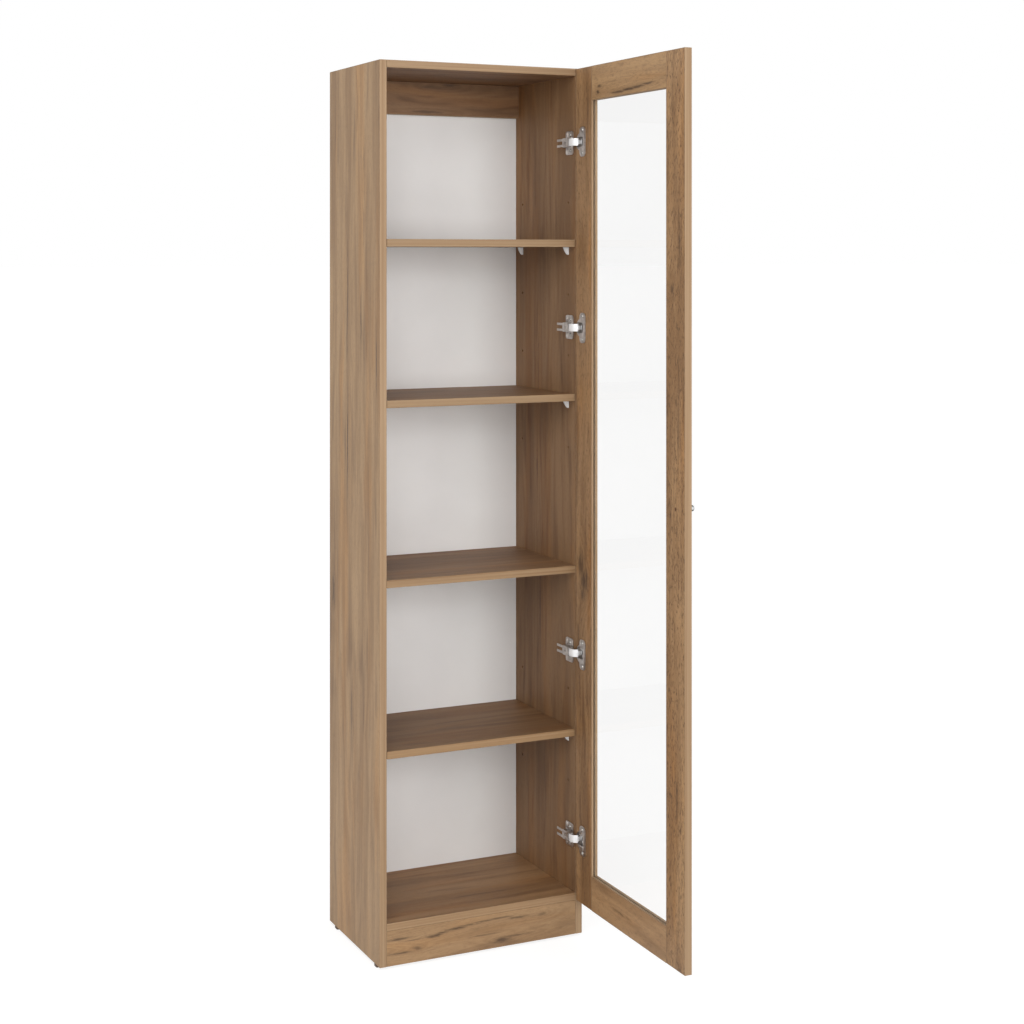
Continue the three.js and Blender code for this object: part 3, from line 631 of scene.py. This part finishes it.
door_member("door_hinge_stile", "Z", "Y", (0.98, 0.86, 0.71), 0.9, 0.55, [
    (0.022, 0.775, 0.014, 0.028, 0.75), (0.038, 0.745, 0.018, 0.024, 0.9),
    (0.03, 0.715, 0.01, 0.015, 0.65),
    (0.011, 0.6, 0.004, 0.05, 0.5), (0.053, 1.7, 0.003, 0.05, 0.5)])
door_member("door_handle_stile", "Z", "Y", (1.12, 1.02, 0.89), 0.85, 0.85, [
    (0.4, 1.35, 0.0045, 0.008, 0.9), (0.422, 1.08, 0.003, 0.05, 0.6),
    (0.427, 1.43, 0.003, 0.035, 0.5), (0.417, 0.39, 0.006, 0.04, 0.5)])
door_member("door_top_rail", "X", "YX", (1.22, 1.15, 1.02), 0.55, 0.35, [
    (0.185, 1.737, 0.003, 0.026, 0.85), (0.225, 1.739, 0.0028, 0.03, 0.9),
    (0.262, 1.741, 0.0032, 0.026, 0.9), (0.305, 1.744, 0.0022, 0.024, 0.85),
    (0.097, 1.744, 0.004, 0.007, 0.9), (0.105, 1.755, 0.003, 0.01, 0.8),
    (0.16, 1.76, 0.0018, 0.03, 0.3)])
door_member("door_bottom_rail", "X", "YX", (1.26, 1.17, 1.05), 0.6, 0.3, [
    (0.197, 0.11, 0.003, 0.03, 0.6)])

# %% [markdown]
# ## The white back
#
# The back is a three millimetre fibre board, painted off-white in front and bare brown
# behind. Roller paint on fibre board is never quite even: it shows a faint mottle as
# wide as a hand and a fine orange peel. The bare side is darker, with short fibres
# pressed into it at random.

# %% The white back
paint_dull, paint_fresh = (0.895, 0.895, 0.892, 1), (0.915, 0.915, 0.912, 1)
fibre_dark, fibre_pale = (0.17, 0.1, 0.055, 1), (0.3, 0.185, 0.105, 1)
material, tree, shader, place = new_material("painted back", 0.55)
mottle = soft_step(tree, noise(tree, place, (9, 9, 9), 3.0, 0.5), 0.35, 0.65)
peel = noise(tree, place, (420, 420, 420), 2.0, 0.5)
painted = mixed(tree, mottle, paint_dull, paint_fresh)
front_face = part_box("back_panel")[0].y
behind = soft_step(tree, along_axis(tree, place, "Y"), front_face + 0.0004, front_face + 0.0007)
matted = noise(tree, place, (260, 900, 260), 4.0, 0.75)
fibrous = mixed(tree, soft_step(tree, matted, 0.3, 0.7), fibre_dark, fibre_pale)
feed(tree, shader.inputs["Base Color"], mixed(tree, behind, painted, fibrous))
roughness = times_plus(tree, behind, 0.3, times_plus(tree, peel, 0.1, 0.45))
feed(tree, shader.inputs["Roughness"], roughness)
relief(tree, shader, maths(tree, "ADD", peel, times(tree, behind, matted)), 0.00006)
paint(["back_panel"], material)

# %% [markdown]
# ## Glass
#
# Float glass is clear on its face and green only through its edge. In this picture it
# takes away about a twentieth of the white behind it, and that is how the eye finds it.
# Lamps have to reach through the pane as they do in life, and refraction hides them from
# a path tracer's shadow rays, so for those rays alone the glass is made see-through. It
# was wiped not quite evenly, so it is a little rough in places.

# %% Glass
def choose_shader(tree, share, first, second):
    choice = tree.nodes.new("ShaderNodeMixShader")
    for socket, value in zip(choice.inputs, (share, first, second)):
        feed(tree, socket, value)
    feed(tree, tree.nodes["Material Output"].inputs["Surface"], choice.outputs["Shader"])


material, tree, shader, place = new_material("clear glass", 0.0)
shader.inputs["Base Color"].default_value = (0.955, 0.957, 0.956, 1)
shader.inputs["IOR"].default_value = 1.16
shader.inputs["Transmission Weight"].default_value = 1.0
smears = soft_step(tree, noise(tree, place, (14, 14, 5), 3.0, 0.6), 0.5, 0.75)
feed(tree, shader.inputs["Roughness"], times(tree, smears, 0.025))
see_through = tree.nodes.new("ShaderNodeBsdfTransparent")
see_through.inputs["Color"].default_value = (0.9, 0.93, 0.91, 1)
shadow_ray = tree.nodes.new("ShaderNodeLightPath").outputs["Is Shadow Ray"]
choose_shader(tree, shadow_ray, shader.outputs["BSDF"], see_through.outputs["BSDF"])
paint(["glass_pane"], material)

# %% [markdown]
# ## The glazing seal
#
# The seal is a matt brown strip that holds the pane in its groove. Its skin is fine and a
# little dusty, so its colour, its roughness and its relief all follow one small noise.

# %% The glazing seal
seal_dark, seal_dusty = (0.2, 0.135, 0.085, 1), (0.31, 0.22, 0.15, 1)
material, tree, shader, place = new_material("glazing seal", 0.75)
skin = noise(tree, place, (700, 700, 700), 3.0, 0.6)
feed(tree, shader.inputs["Base Color"], mixed(tree, skin, seal_dark, seal_dusty))
feed(tree, shader.inputs["Roughness"], times_plus(tree, skin, 0.3, 0.55))
relief(tree, shader, skin, 0.00005)
paint(["glazing_seal"], material)

# %% [markdown]
# ## Worn metal
#
# Hinges are pressed from strip and tumbled, which leaves fine scratches, small pits and a
# cloudy plating. A group gives all three, and each metal says how bright it is and how far
# its roughness goes up and down.

# %% Worn metal
plating, given, made = new_group(
    "Plated skin",
    {"Place": "Vector", "Bright": "Color", "Dull": "Color", "Smooth": "Float", "Rough": "Float"},
    {"Colour": "Color", "Roughness": "Float", "Height": "Float"},
)
clouds = noise(plating, given["Place"], (110, 110, 110), 3.0, 0.6)
worn = soft_step(plating, clouds, 0.36, 0.66)
scratches = noise(plating, given["Place"], (350, 4200, 2600), 2.0, 0.5)
pits = noise(plating, given["Place"], (1900, 1900, 1900), 1.0)
pits = soft_step(plating, pits, 0.66, 0.76)
feed(plating, made["Colour"], mixed(plating, worn, given["Dull"], given["Bright"]))
unevenness = maths(plating, "SUBTRACT", given["Rough"], given["Smooth"])
share = times_plus(plating, scratches, 0.7, times(plating, pits, 0.5))
roughness = times_plus(plating, unevenness, share, given["Smooth"])
feed(plating, made["Roughness"], roughness)
feed(plating, made["Height"], times_plus(plating, pits, -0.6, scratches))
print("plated skin:", len(plating.nodes), "nodes")

# %% [markdown]
# ## The metals of the bookcase
#
# The metals differ by their two colours, their two roughnesses and the depth of the skin.
# The outer links look nearly white, as they mirror the bright studio; that reflection is
# painted in, so their steel is made pale and only a little metallic.
# A skin of any kind is put on a shader in the same way, so that is a helper too.

# %% The metals of the bookcase
def wear_skin(tree, shader, group, values, depth):
    skin = use_group(tree, group, values)
    feed(tree, shader.inputs["Base Color"], skin["Colour"])
    feed(tree, shader.inputs["Roughness"], skin["Roughness"])
    relief(tree, shader, skin["Height"], depth)


def metal(name, bright, dull, smooth, rough, depth, metallic=1.0):
    material, tree, shader, place = new_material(name, rough, metallic)
    wear_skin(tree, shader, plating, {
        "Place": place, "Bright": (*bright, 1), "Dull": (*dull, 1),
        "Smooth": smooth, "Rough": rough}, depth)
    return material


nickel = metal("nickel plate", (0.62, 0.585, 0.56), (0.46, 0.425, 0.405), 0.22, 0.5, 0.00002)
# The pale colour of the outer links is a painted reflection of the bright studio.
bright_steel = metal(
    "bright steel", (0.97, 0.97, 0.97), (0.94, 0.94, 0.94), 0.25, 0.42, 0.000004, 0.15)
chrome = metal("polished chrome", (0.86, 0.87, 0.87), (0.76, 0.77, 0.77), 0.1, 0.24, 0.000002)
zinc = metal("zinc screw", (0.62, 0.61, 0.58), (0.42, 0.41, 0.39), 0.2, 0.45, 0.00001)
bronzed = metal("bronzed screw", (0.46, 0.29, 0.18), (0.34, 0.21, 0.13), 0.3, 0.55, 0.00001)
hinges = ("top", "upper", "lower", "bottom")
for part in ("plate", "arm", "inner_link", "cup"):
    paint([f"hinge_{place_name}_{part}" for place_name in hinges], nickel)
paint([f"hinge_{place_name}_outer_link" for place_name in hinges], bright_steel)
paint(["knob"], chrome)
paint(["knob_screw"], bronzed)

# %% [markdown]
# ## The painted reflection on the knob's rim
#
# A polished knob mirrors the dark of the studio along its rim, where it turns away from
# the eye. There is no such dark in a white scene, so that reflection is painted: the rim
# is made darker by how far the surface faces away, with a grey that is mixed over the
# colour that the group gives.

# %% The painted reflection on the knob's rim
rim_reflection_grey = (0.09, 0.09, 0.09, 1)
tree = chrome.node_tree
base = tree.nodes["Principled BSDF"].inputs["Base Color"]
mirrored = base.links[0].from_socket
turned_away = tree.nodes.new("ShaderNodeLayerWeight").outputs["Facing"]
# painted reflection: grey mixed in where the surface turns away from the eye
feed(tree, base, mixed(tree, soft_step(tree, turned_away, 0.1, 0.4), mirrored, rim_reflection_grey))
print("rim of", chrome.name, rim_reflection_grey[:3])

# %% [markdown]
# ## Moulded plastic
#
# The shelf supports are glossy white, the glides matt brown. A mould leaves a faint
# satin skin with flow clouds and a fine grit, which is deeper on the glides.

# %% Moulded plastic
moulding, given, made = new_group(
    "Moulded skin", {"Place": "Vector", "Light": "Color", "Shade": "Color", "Shine": "Float"},
    {"Colour": "Color", "Roughness": "Float", "Height": "Float"},
)
flow = noise(moulding, given["Place"], (90, 90, 90), 2.0, 0.5)
grit = noise(moulding, given["Place"], (1600, 1600, 1600), 2.0, 0.6)
feed(moulding, made["Colour"], mixed(moulding, flow, given["Shade"], given["Light"]))
feed(moulding, made["Roughness"], times_plus(moulding, grit, 0.2, given["Shine"]))
feed(moulding, made["Height"], grit)


def plastic(name, light, shade, shine, depth):
    material, tree, shader, place = new_material(name, shine)
    wear_skin(tree, shader, moulding, {
        "Place": place, "Light": (*light, 1), "Shade": (*shade, 1), "Shine": shine}, depth)
    return material


white_plastic = plastic(
    "white plastic", (0.97, 0.97, 0.965), (0.93, 0.93, 0.925), 0.22, 0.00002)
brown_plastic = plastic(
    "brown plastic", (0.13, 0.075, 0.045), (0.08, 0.045, 0.028), 0.4, 0.00004)
levels = ("upper", "middle", "lower")
corners = [f"{side}_{end}" for side in ("left", "right") for end in ("front", "rear")]
supports = [f"shelf_support_{level}_{corner}" for level in levels for corner in corners]
glides = [f"glide_{corner}" for corner in corners]
paint(supports, white_plastic)
paint(glides, brown_plastic)

# %% [markdown]
# ## Twins with softer edges
#
# Pressed metal and moulded plastic have no knife edges, and a turned rim is smooth. The
# CAD pieces are made of flat facets, so each gets a dressed twin: its mesh is copied, its
# doubled corners are merged, the seams between facets that lie in one plane are
# dissolved, and what is still sharp is bevelled. Shading is then smooth wherever the
# surface turns by less than thirty-five degrees.

# %% Twins with softer edges
smooth_below = math.radians(35)
sharp_above = math.radians(32)


def pick(obj):
    bpy.ops.object.select_all(action="DESELECT")
    obj.select_set(True)
    bpy.context.view_layer.objects.active = obj


def bevelled(obj, width, steps):
    pick(obj)
    bevel = obj.modifiers.new("bevel", "BEVEL")
    bevel.width = width
    bevel.segments = steps
    bevel.limit_method = "ANGLE"
    bevel.angle_limit = sharp_above
    bpy.ops.object.modifier_apply(modifier=bevel.name)
    bpy.ops.object.shade_smooth_by_angle(angle=smooth_below)


def twin_of(name):
    twin = bpy.data.objects.new(name + "_dressed", pieces[name].data.copy())
    bpy.context.scene.collection.objects.link(twin)
    pick(twin)
    bpy.ops.object.mode_set(mode="EDIT")
    bpy.ops.mesh.customdata_custom_splitnormals_clear()
    bpy.ops.mesh.select_all(action="SELECT")
    bpy.ops.mesh.remove_doubles(threshold=0.00001)
    bpy.ops.mesh.dissolve_limited(angle_limit=math.radians(1))
    bpy.ops.object.mode_set(mode="OBJECT")
    return twin


print("helpers for a twin:", pick.__name__, bevelled.__name__, twin_of.__name__)

# %% [markdown]
# ## Dressing the small parts
#
# The bevel is two tenths of a millimetre on pressed metal, a little more on the supports
# and six tenths on the glides. Each twin stands for its CAD piece and rides on its body.

# %% Dressing the small parts
def dressed(name, width, steps, body):
    twin = twin_of(name)
    bevelled(twin, width, steps)
    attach(twin, body)
    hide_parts(name)


hinge_parts = {
    "plate": ("carcass", "nickel"), "arm": ("carcass", "nickel"),
    "inner_link": ("inner_links", "nickel"), "outer_link": ("outer_links", "bright_steel"),
    "cup": ("door", "nickel"),
}
for place_name in hinges:
    for part, (body, slot) in hinge_parts.items():
        dressed(f"hinge_{place_name}_{part}", 0.0002, 2, body)
for name in supports:
    dressed(name, 0.00035, 2, "carcass")
for name in glides:
    dressed(name, 0.0006, 3, "carcass")

# %% [markdown]
# ## Turned shapes
#
# A knob, a screw head and a cap are all turned. One helper makes them: a ring of edges
# grows along its axis by extruding and is drawn in or let out at each step, and the two
# ends are closed. The profile is a list of radius and height. A rounded rim is a quarter
# of a circle, stepped by a formula.

# %% Turned shapes
def quarter(radius, height, round_by, steps):
    angles = [math.pi / 2 * step / steps for step in range(steps + 1)]
    flat, straight = radius - round_by, height - round_by
    return [(flat + round_by * math.cos(a), straight + round_by * math.sin(a)) for a in angles]


def turned(profile, around):
    radius, level = profile[0]
    bpy.ops.mesh.primitive_circle_add(
        vertices=around, radius=radius, location=(0, 0, level), fill_type="NGON")
    obj = bpy.context.object
    bpy.ops.object.mode_set(mode="EDIT")
    bpy.ops.mesh.select_all(action="SELECT")
    for wider, higher in profile[1:]:
        rise, grow = higher - level, wider / radius
        bpy.ops.mesh.extrude_region_move(TRANSFORM_OT_translate={"value": (0, 0, rise)})
        bpy.ops.transform.resize(value=(grow, grow, 1), center_override=(0, 0, higher))
        radius, level = wider, higher
    bpy.ops.mesh.select_all(action="SELECT")
    bpy.ops.mesh.normals_make_consistent(inside=False)
    bpy.ops.object.mode_set(mode="OBJECT")
    bpy.ops.object.transform_apply(location=True, rotation=True, scale=True)
    bpy.ops.object.shade_smooth_by_angle(angle=smooth_below)
    return obj


def button(radius, height, round_by, steps, around):
    return turned([(radius, 0.0)] + quarter(radius, height, round_by, steps), around)


print("helpers for turning:", quarter.__name__, turned.__name__, button.__name__)

# %% [markdown]
# ## Cross recesses and copies
#
# The cross in a screw head is two notches at a right angle, each cut by a block that is
# taken away again. A model is made once, upright and in the middle of the world. Every
# copy gets a mesh of its own, and its place goes into that mesh, so that the object stays
# at the origin. Where a head has to look along an axis of a ruler, it is turned first.

# %% Cross recesses and copies
head_to_low_x = Matrix.Rotation(math.radians(-90), 4, "Y")
head_to_low_y = Matrix.Rotation(math.radians(90), 4, "X")
head_to_high_y = Matrix.Rotation(math.radians(-90), 4, "X")


def notched(obj, size, at, turn):
    bpy.ops.mesh.primitive_cube_add(size=1, location=at, rotation=(0, 0, turn), scale=size)
    cutter = bpy.context.object
    pick(obj)
    notch = obj.modifiers.new("notch", "BOOLEAN")
    notch.operation = "DIFFERENCE"
    notch.object = cutter
    bpy.ops.object.modifier_apply(modifier=notch.name)
    bpy.data.objects.remove(cutter)


def crossed(head, size, at):
    for turn in (27, 117):
        notched(head, size, at, math.radians(turn))
    pick(head)
    bpy.ops.object.shade_smooth_by_angle(angle=smooth_below)


def placed(model, name, matrix, body, slot, material):
    copy = bpy.data.objects.new(name, model.data.copy())
    copy.data.transform(matrix)
    copy.data.materials.clear()
    copy.data.materials.append(material)
    bpy.context.scene.collection.objects.link(copy)
    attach(copy, body)
    return copy


print("helpers for copies:", notched.__name__, crossed.__name__, placed.__name__)

# %% [markdown]
# ## The screws of the hinges
#
# Each plate is held by two pan-head screws above and below its arm, each cup by two more
# in its ears, and the arm by one that goes down onto the rail under it. All look along
# their own axis out of the board, so the model is turned with its head towards the bay
# for the carcass, and towards the inner face for the door.

# %% The screws of the hinges
def screw(radius, rise, shank, reach):
    below = [(shank, -reach), (shank, 0), (radius, 0)]
    head = turned(below + quarter(radius, rise, rise * 0.6, 5), 32)
    crossed(head, (radius * 1.25, radius * 0.3, rise), (0, 0, rise))
    return head


wood_screw = screw(radius=0.0036, rise=0.0017, shank=0.0019, reach=0.002)
arm_screw = screw(radius=0.0021, rise=0.0014, shank=0.0017, reach=0.0038)
plate_apart, cup_apart = 0.032, 0.048
plate_at, arm_at = (inner_face - 0.0023, 0.02), (inner_face - 0.0122, 0.02)
ear_at = (0.0304, -0.0013)  # on the ruler of the door
for place_name in hinges:
    low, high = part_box(f"hinge_{place_name}_arm")
    middle = (low.z + high.z) / 2
    for end, word in ((-1, "low"), (1, "high")):
        height = middle + end * plate_apart / 2
        at = carcass_ruler @ Matrix.Translation((*plate_at, height)) @ head_to_low_x
        placed(wood_screw, f"plate_screw_{place_name}_{word}", at, "carcass", "nickel", zinc)
        height = middle + end * cup_apart / 2
        at = door_ruler @ Matrix.Translation((*ear_at, height)) @ head_to_low_y
        placed(wood_screw, f"cup_screw_{place_name}_{word}", at, "door", "nickel", zinc)
    at = carcass_ruler @ Matrix.Translation((*arm_at, middle)) @ head_to_low_x
    placed(arm_screw, f"arm_screw_{place_name}", at, "carcass", "nickel", zinc)
bpy.data.objects.remove(wood_screw)
bpy.data.objects.remove(arm_screw)

# %% [markdown]
# ## The knob and its screw
#
# The knob is a polished bar on a narrower neck, which flares out in a short cone and ends
# in a rounded rim. Its screw comes through the stile from the inner face, with a cross
# recess in its countersunk head.

# %% The knob and its screw
neck_radius, bar_radius, knob_length = 0.004, 0.0059, 0.023
head_radius, shank_radius, head_depth = 0.0039, 0.002, 0.0021


def on_stile(name):
    low, high = spread([name], door_ruler)
    middle = ((low.x + high.x) / 2, low.y, (low.z + high.z) / 2)
    return door_ruler @ Matrix.Translation(middle), high.y - low.y


knob_at, _ = on_stile("knob")
cone = [(0.0044, 0.0066), (bar_radius, 0.0082)]
profile = [(neck_radius, 0.0), (neck_radius, 0.0058)] + cone
model = turned(profile + quarter(bar_radius, knob_length, 0.002, 8), 64)
knob = placed(model, "knob_dressed", knob_at @ head_to_high_y, "door", "chrome", chrome)
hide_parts("knob")
bpy.data.objects.remove(model)

screw_at, screw_length = on_stile("knob_screw")
profile = [(head_radius, 0.0), (shank_radius, -head_depth), (shank_radius, -screw_length)]
model = turned(profile, 32)
crossed(model, (0.0046, 0.0011, 0.0024), (0, 0, 0))
shank = placed(model, "knob_screw_dressed", screw_at @ head_to_low_y, "door", "nickel", bronzed)
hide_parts("knob_screw")
bpy.data.objects.remove(model)
print("knob at", [round(x, 4) for x in knob_at.translation])

# %% [markdown]
# ## Caps over the cam fittings
#
# The fixed boards are drawn to the sides by cams, which sit in bores near the ends of each
# board. A brown cap closes each bore: on the top of the top panel, and under the fixed
# shelf and the bottom panel, where it doesn't show.

# %% Caps over the cam fittings
model = button(radius=0.0085, height=0.0007, round_by=0.0005, steps=4, around=40)
from_end, cap_depths = 0.034, (0.04, 0.247)
cap_places = []
for name, above in (("top_panel", True), ("fixed_shelf", False), ("bottom_panel", False)):
    low, high = spread([name], carcass_ruler)
    level = high.z if above else low.z
    flip = Matrix.Rotation(0 if above else math.pi, 4, "X")
    for across in (low.x + from_end, high.x - from_end):
        for back in cap_depths:
            at = Matrix.Translation((across, back, level))
            cap_places.append(carcass_ruler @ at @ flip)
for number, at in enumerate(cap_places):
    placed(model, f"cam_cap_{number}", at, "carcass", "brown_plastic", brown_plastic)
bpy.data.objects.remove(model)
print("caps:", len(cap_places))

# %% [markdown]
# ## Nails of the back panel
#
# The back is nailed all round into the sides and the boards, about every fourteen
# centimetres. The heads are small, flat and a little domed, and all of them are one piece.

# %% Nails of the back panel
model = button(radius=0.0019, height=0.0005, round_by=0.0003, steps=3, around=20)
low, high = spread(["back_panel"], carcass_ruler)
from_corner, from_side, into_board = 0.02, 0.004, 0.0065
steps = 12
run = high.z - low.z - 2 * from_corner
heights = [low.z + from_corner + run * step / steps for step in range(steps + 1)]
spots = [(x, z) for x in (low.x + from_side, high.x - from_side) for z in heights]
shelf_low, shelf_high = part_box("fixed_shelf")
for z in (low.z + into_board, (shelf_low.z + shelf_high.z) / 2, high.z - into_board):
    spots += [(x, z) for x in (-0.14, 0, 0.14)]
nails = []
for number, (x, z) in enumerate(spots):
    at = carcass_ruler @ Matrix.Translation((x, high.y, z)) @ head_to_high_y
    nails.append(placed(model, f"nail_{number}", at, "carcass", "nickel", zinc))
bpy.data.objects.remove(model)
pick(nails[0])
for nail in nails:
    nail.select_set(True)
bpy.ops.object.join()
nails[0].name = "back_panel_nails"
print("nails:", len(spots))

# %% [markdown]
# ## The floor
#
# The picture has a white ground. A floor that is simply lit until it clips would throw
# that light back on the bookcase, so the white is painted in for the rays that look at
# it, from the camera, in a mirror or through glass, while a plain pale floor answers all
# other rays. A share of the white stays real reflection, which is what lets the shadow
# of the bookcase darken it.

# %% The floor
def looked_at(tree):
    path = tree.nodes.new("ShaderNodeLightPath").outputs
    indirect = maths(tree, "MAXIMUM", path["Is Glossy Ray"], path["Is Transmission Ray"])
    return maths(tree, "MAXIMUM", path["Is Camera Ray"], indirect)


bpy.ops.mesh.primitive_plane_add(size=400, location=(0, 0, 0))
floor = bpy.context.object
floor.name = "studio_floor"
material, tree, shader, _ = new_material("studio floor", 0.9)
shader.inputs["Base Color"].default_value = (0.8, 0.8, 0.8, 1)
shader.inputs["Specular IOR Level"].default_value = 0.0
glow = tree.nodes.new("ShaderNodeEmission")
glow.inputs["Strength"].default_value = 0.81
matt = tree.nodes.new("ShaderNodeBsdfDiffuse")
matt.inputs["Color"].default_value = (0.32, 0.32, 0.32, 1)
seen = tree.nodes.new("ShaderNodeAddShader")
feed(tree, seen.inputs[0], glow.outputs["Emission"])
feed(tree, seen.inputs[1], matt.outputs["BSDF"])
choose_shader(tree, looked_at(tree), shader.outputs["BSDF"], seen.outputs["Shader"])
floor.data.materials.append(material)
print("floor:", floor.name)

# %% [markdown]
# ## The world around it
#
# The sky is white where it is looked at, and dimmer where it only gives light, so that
# the lamps can shape the object. Colours are shown as they are, without a film curve.

# %% The world around it
ambient = 0.62
bpy.context.scene.view_settings.view_transform = "Standard"
world = bpy.data.worlds.new("studio")
bpy.context.scene.world = world
world.use_nodes = True
tree = world.node_tree
sky = tree.nodes["Background"]
sky.inputs["Color"].default_value = (1, 1, 1, 1)
strength = times_plus(tree, looked_at(tree), 1.0 - ambient, ambient)
feed(tree, sky.inputs["Strength"], strength)
print("ambient light:", ambient)

# %% [markdown]
# ## Lamps
#
# Two large soft lamps do the work. The broad one stands high, in front and to the left,
# and models the object. The other stands lower and almost straight in front, where it
# reaches into the bays and lights the back.

# %% Lamps
def soft_lamp(name, place, target, size, watts):
    data = bpy.data.lights.new(name, "AREA")
    data.shape = "SQUARE"
    data.size = size
    data.energy = watts
    lamp = bpy.data.objects.new(name, data)
    lamp.location = place
    aim = Vector(target) - Vector(place)
    lamp.rotation_euler = aim.to_track_quat("-Z", "Y").to_euler()
    bpy.context.scene.collection.objects.link(lamp)


soft_lamp("broad lamp", (-2.6, -3.0, 3.0), (0, 0.1, 1.0), size=2.4, watts=62)
soft_lamp("front lamp", (0.4, -4.6, 1.6), (0, 0.1, 0.9), size=2.2, watts=85)
print("lamps:", len(bpy.data.lights))
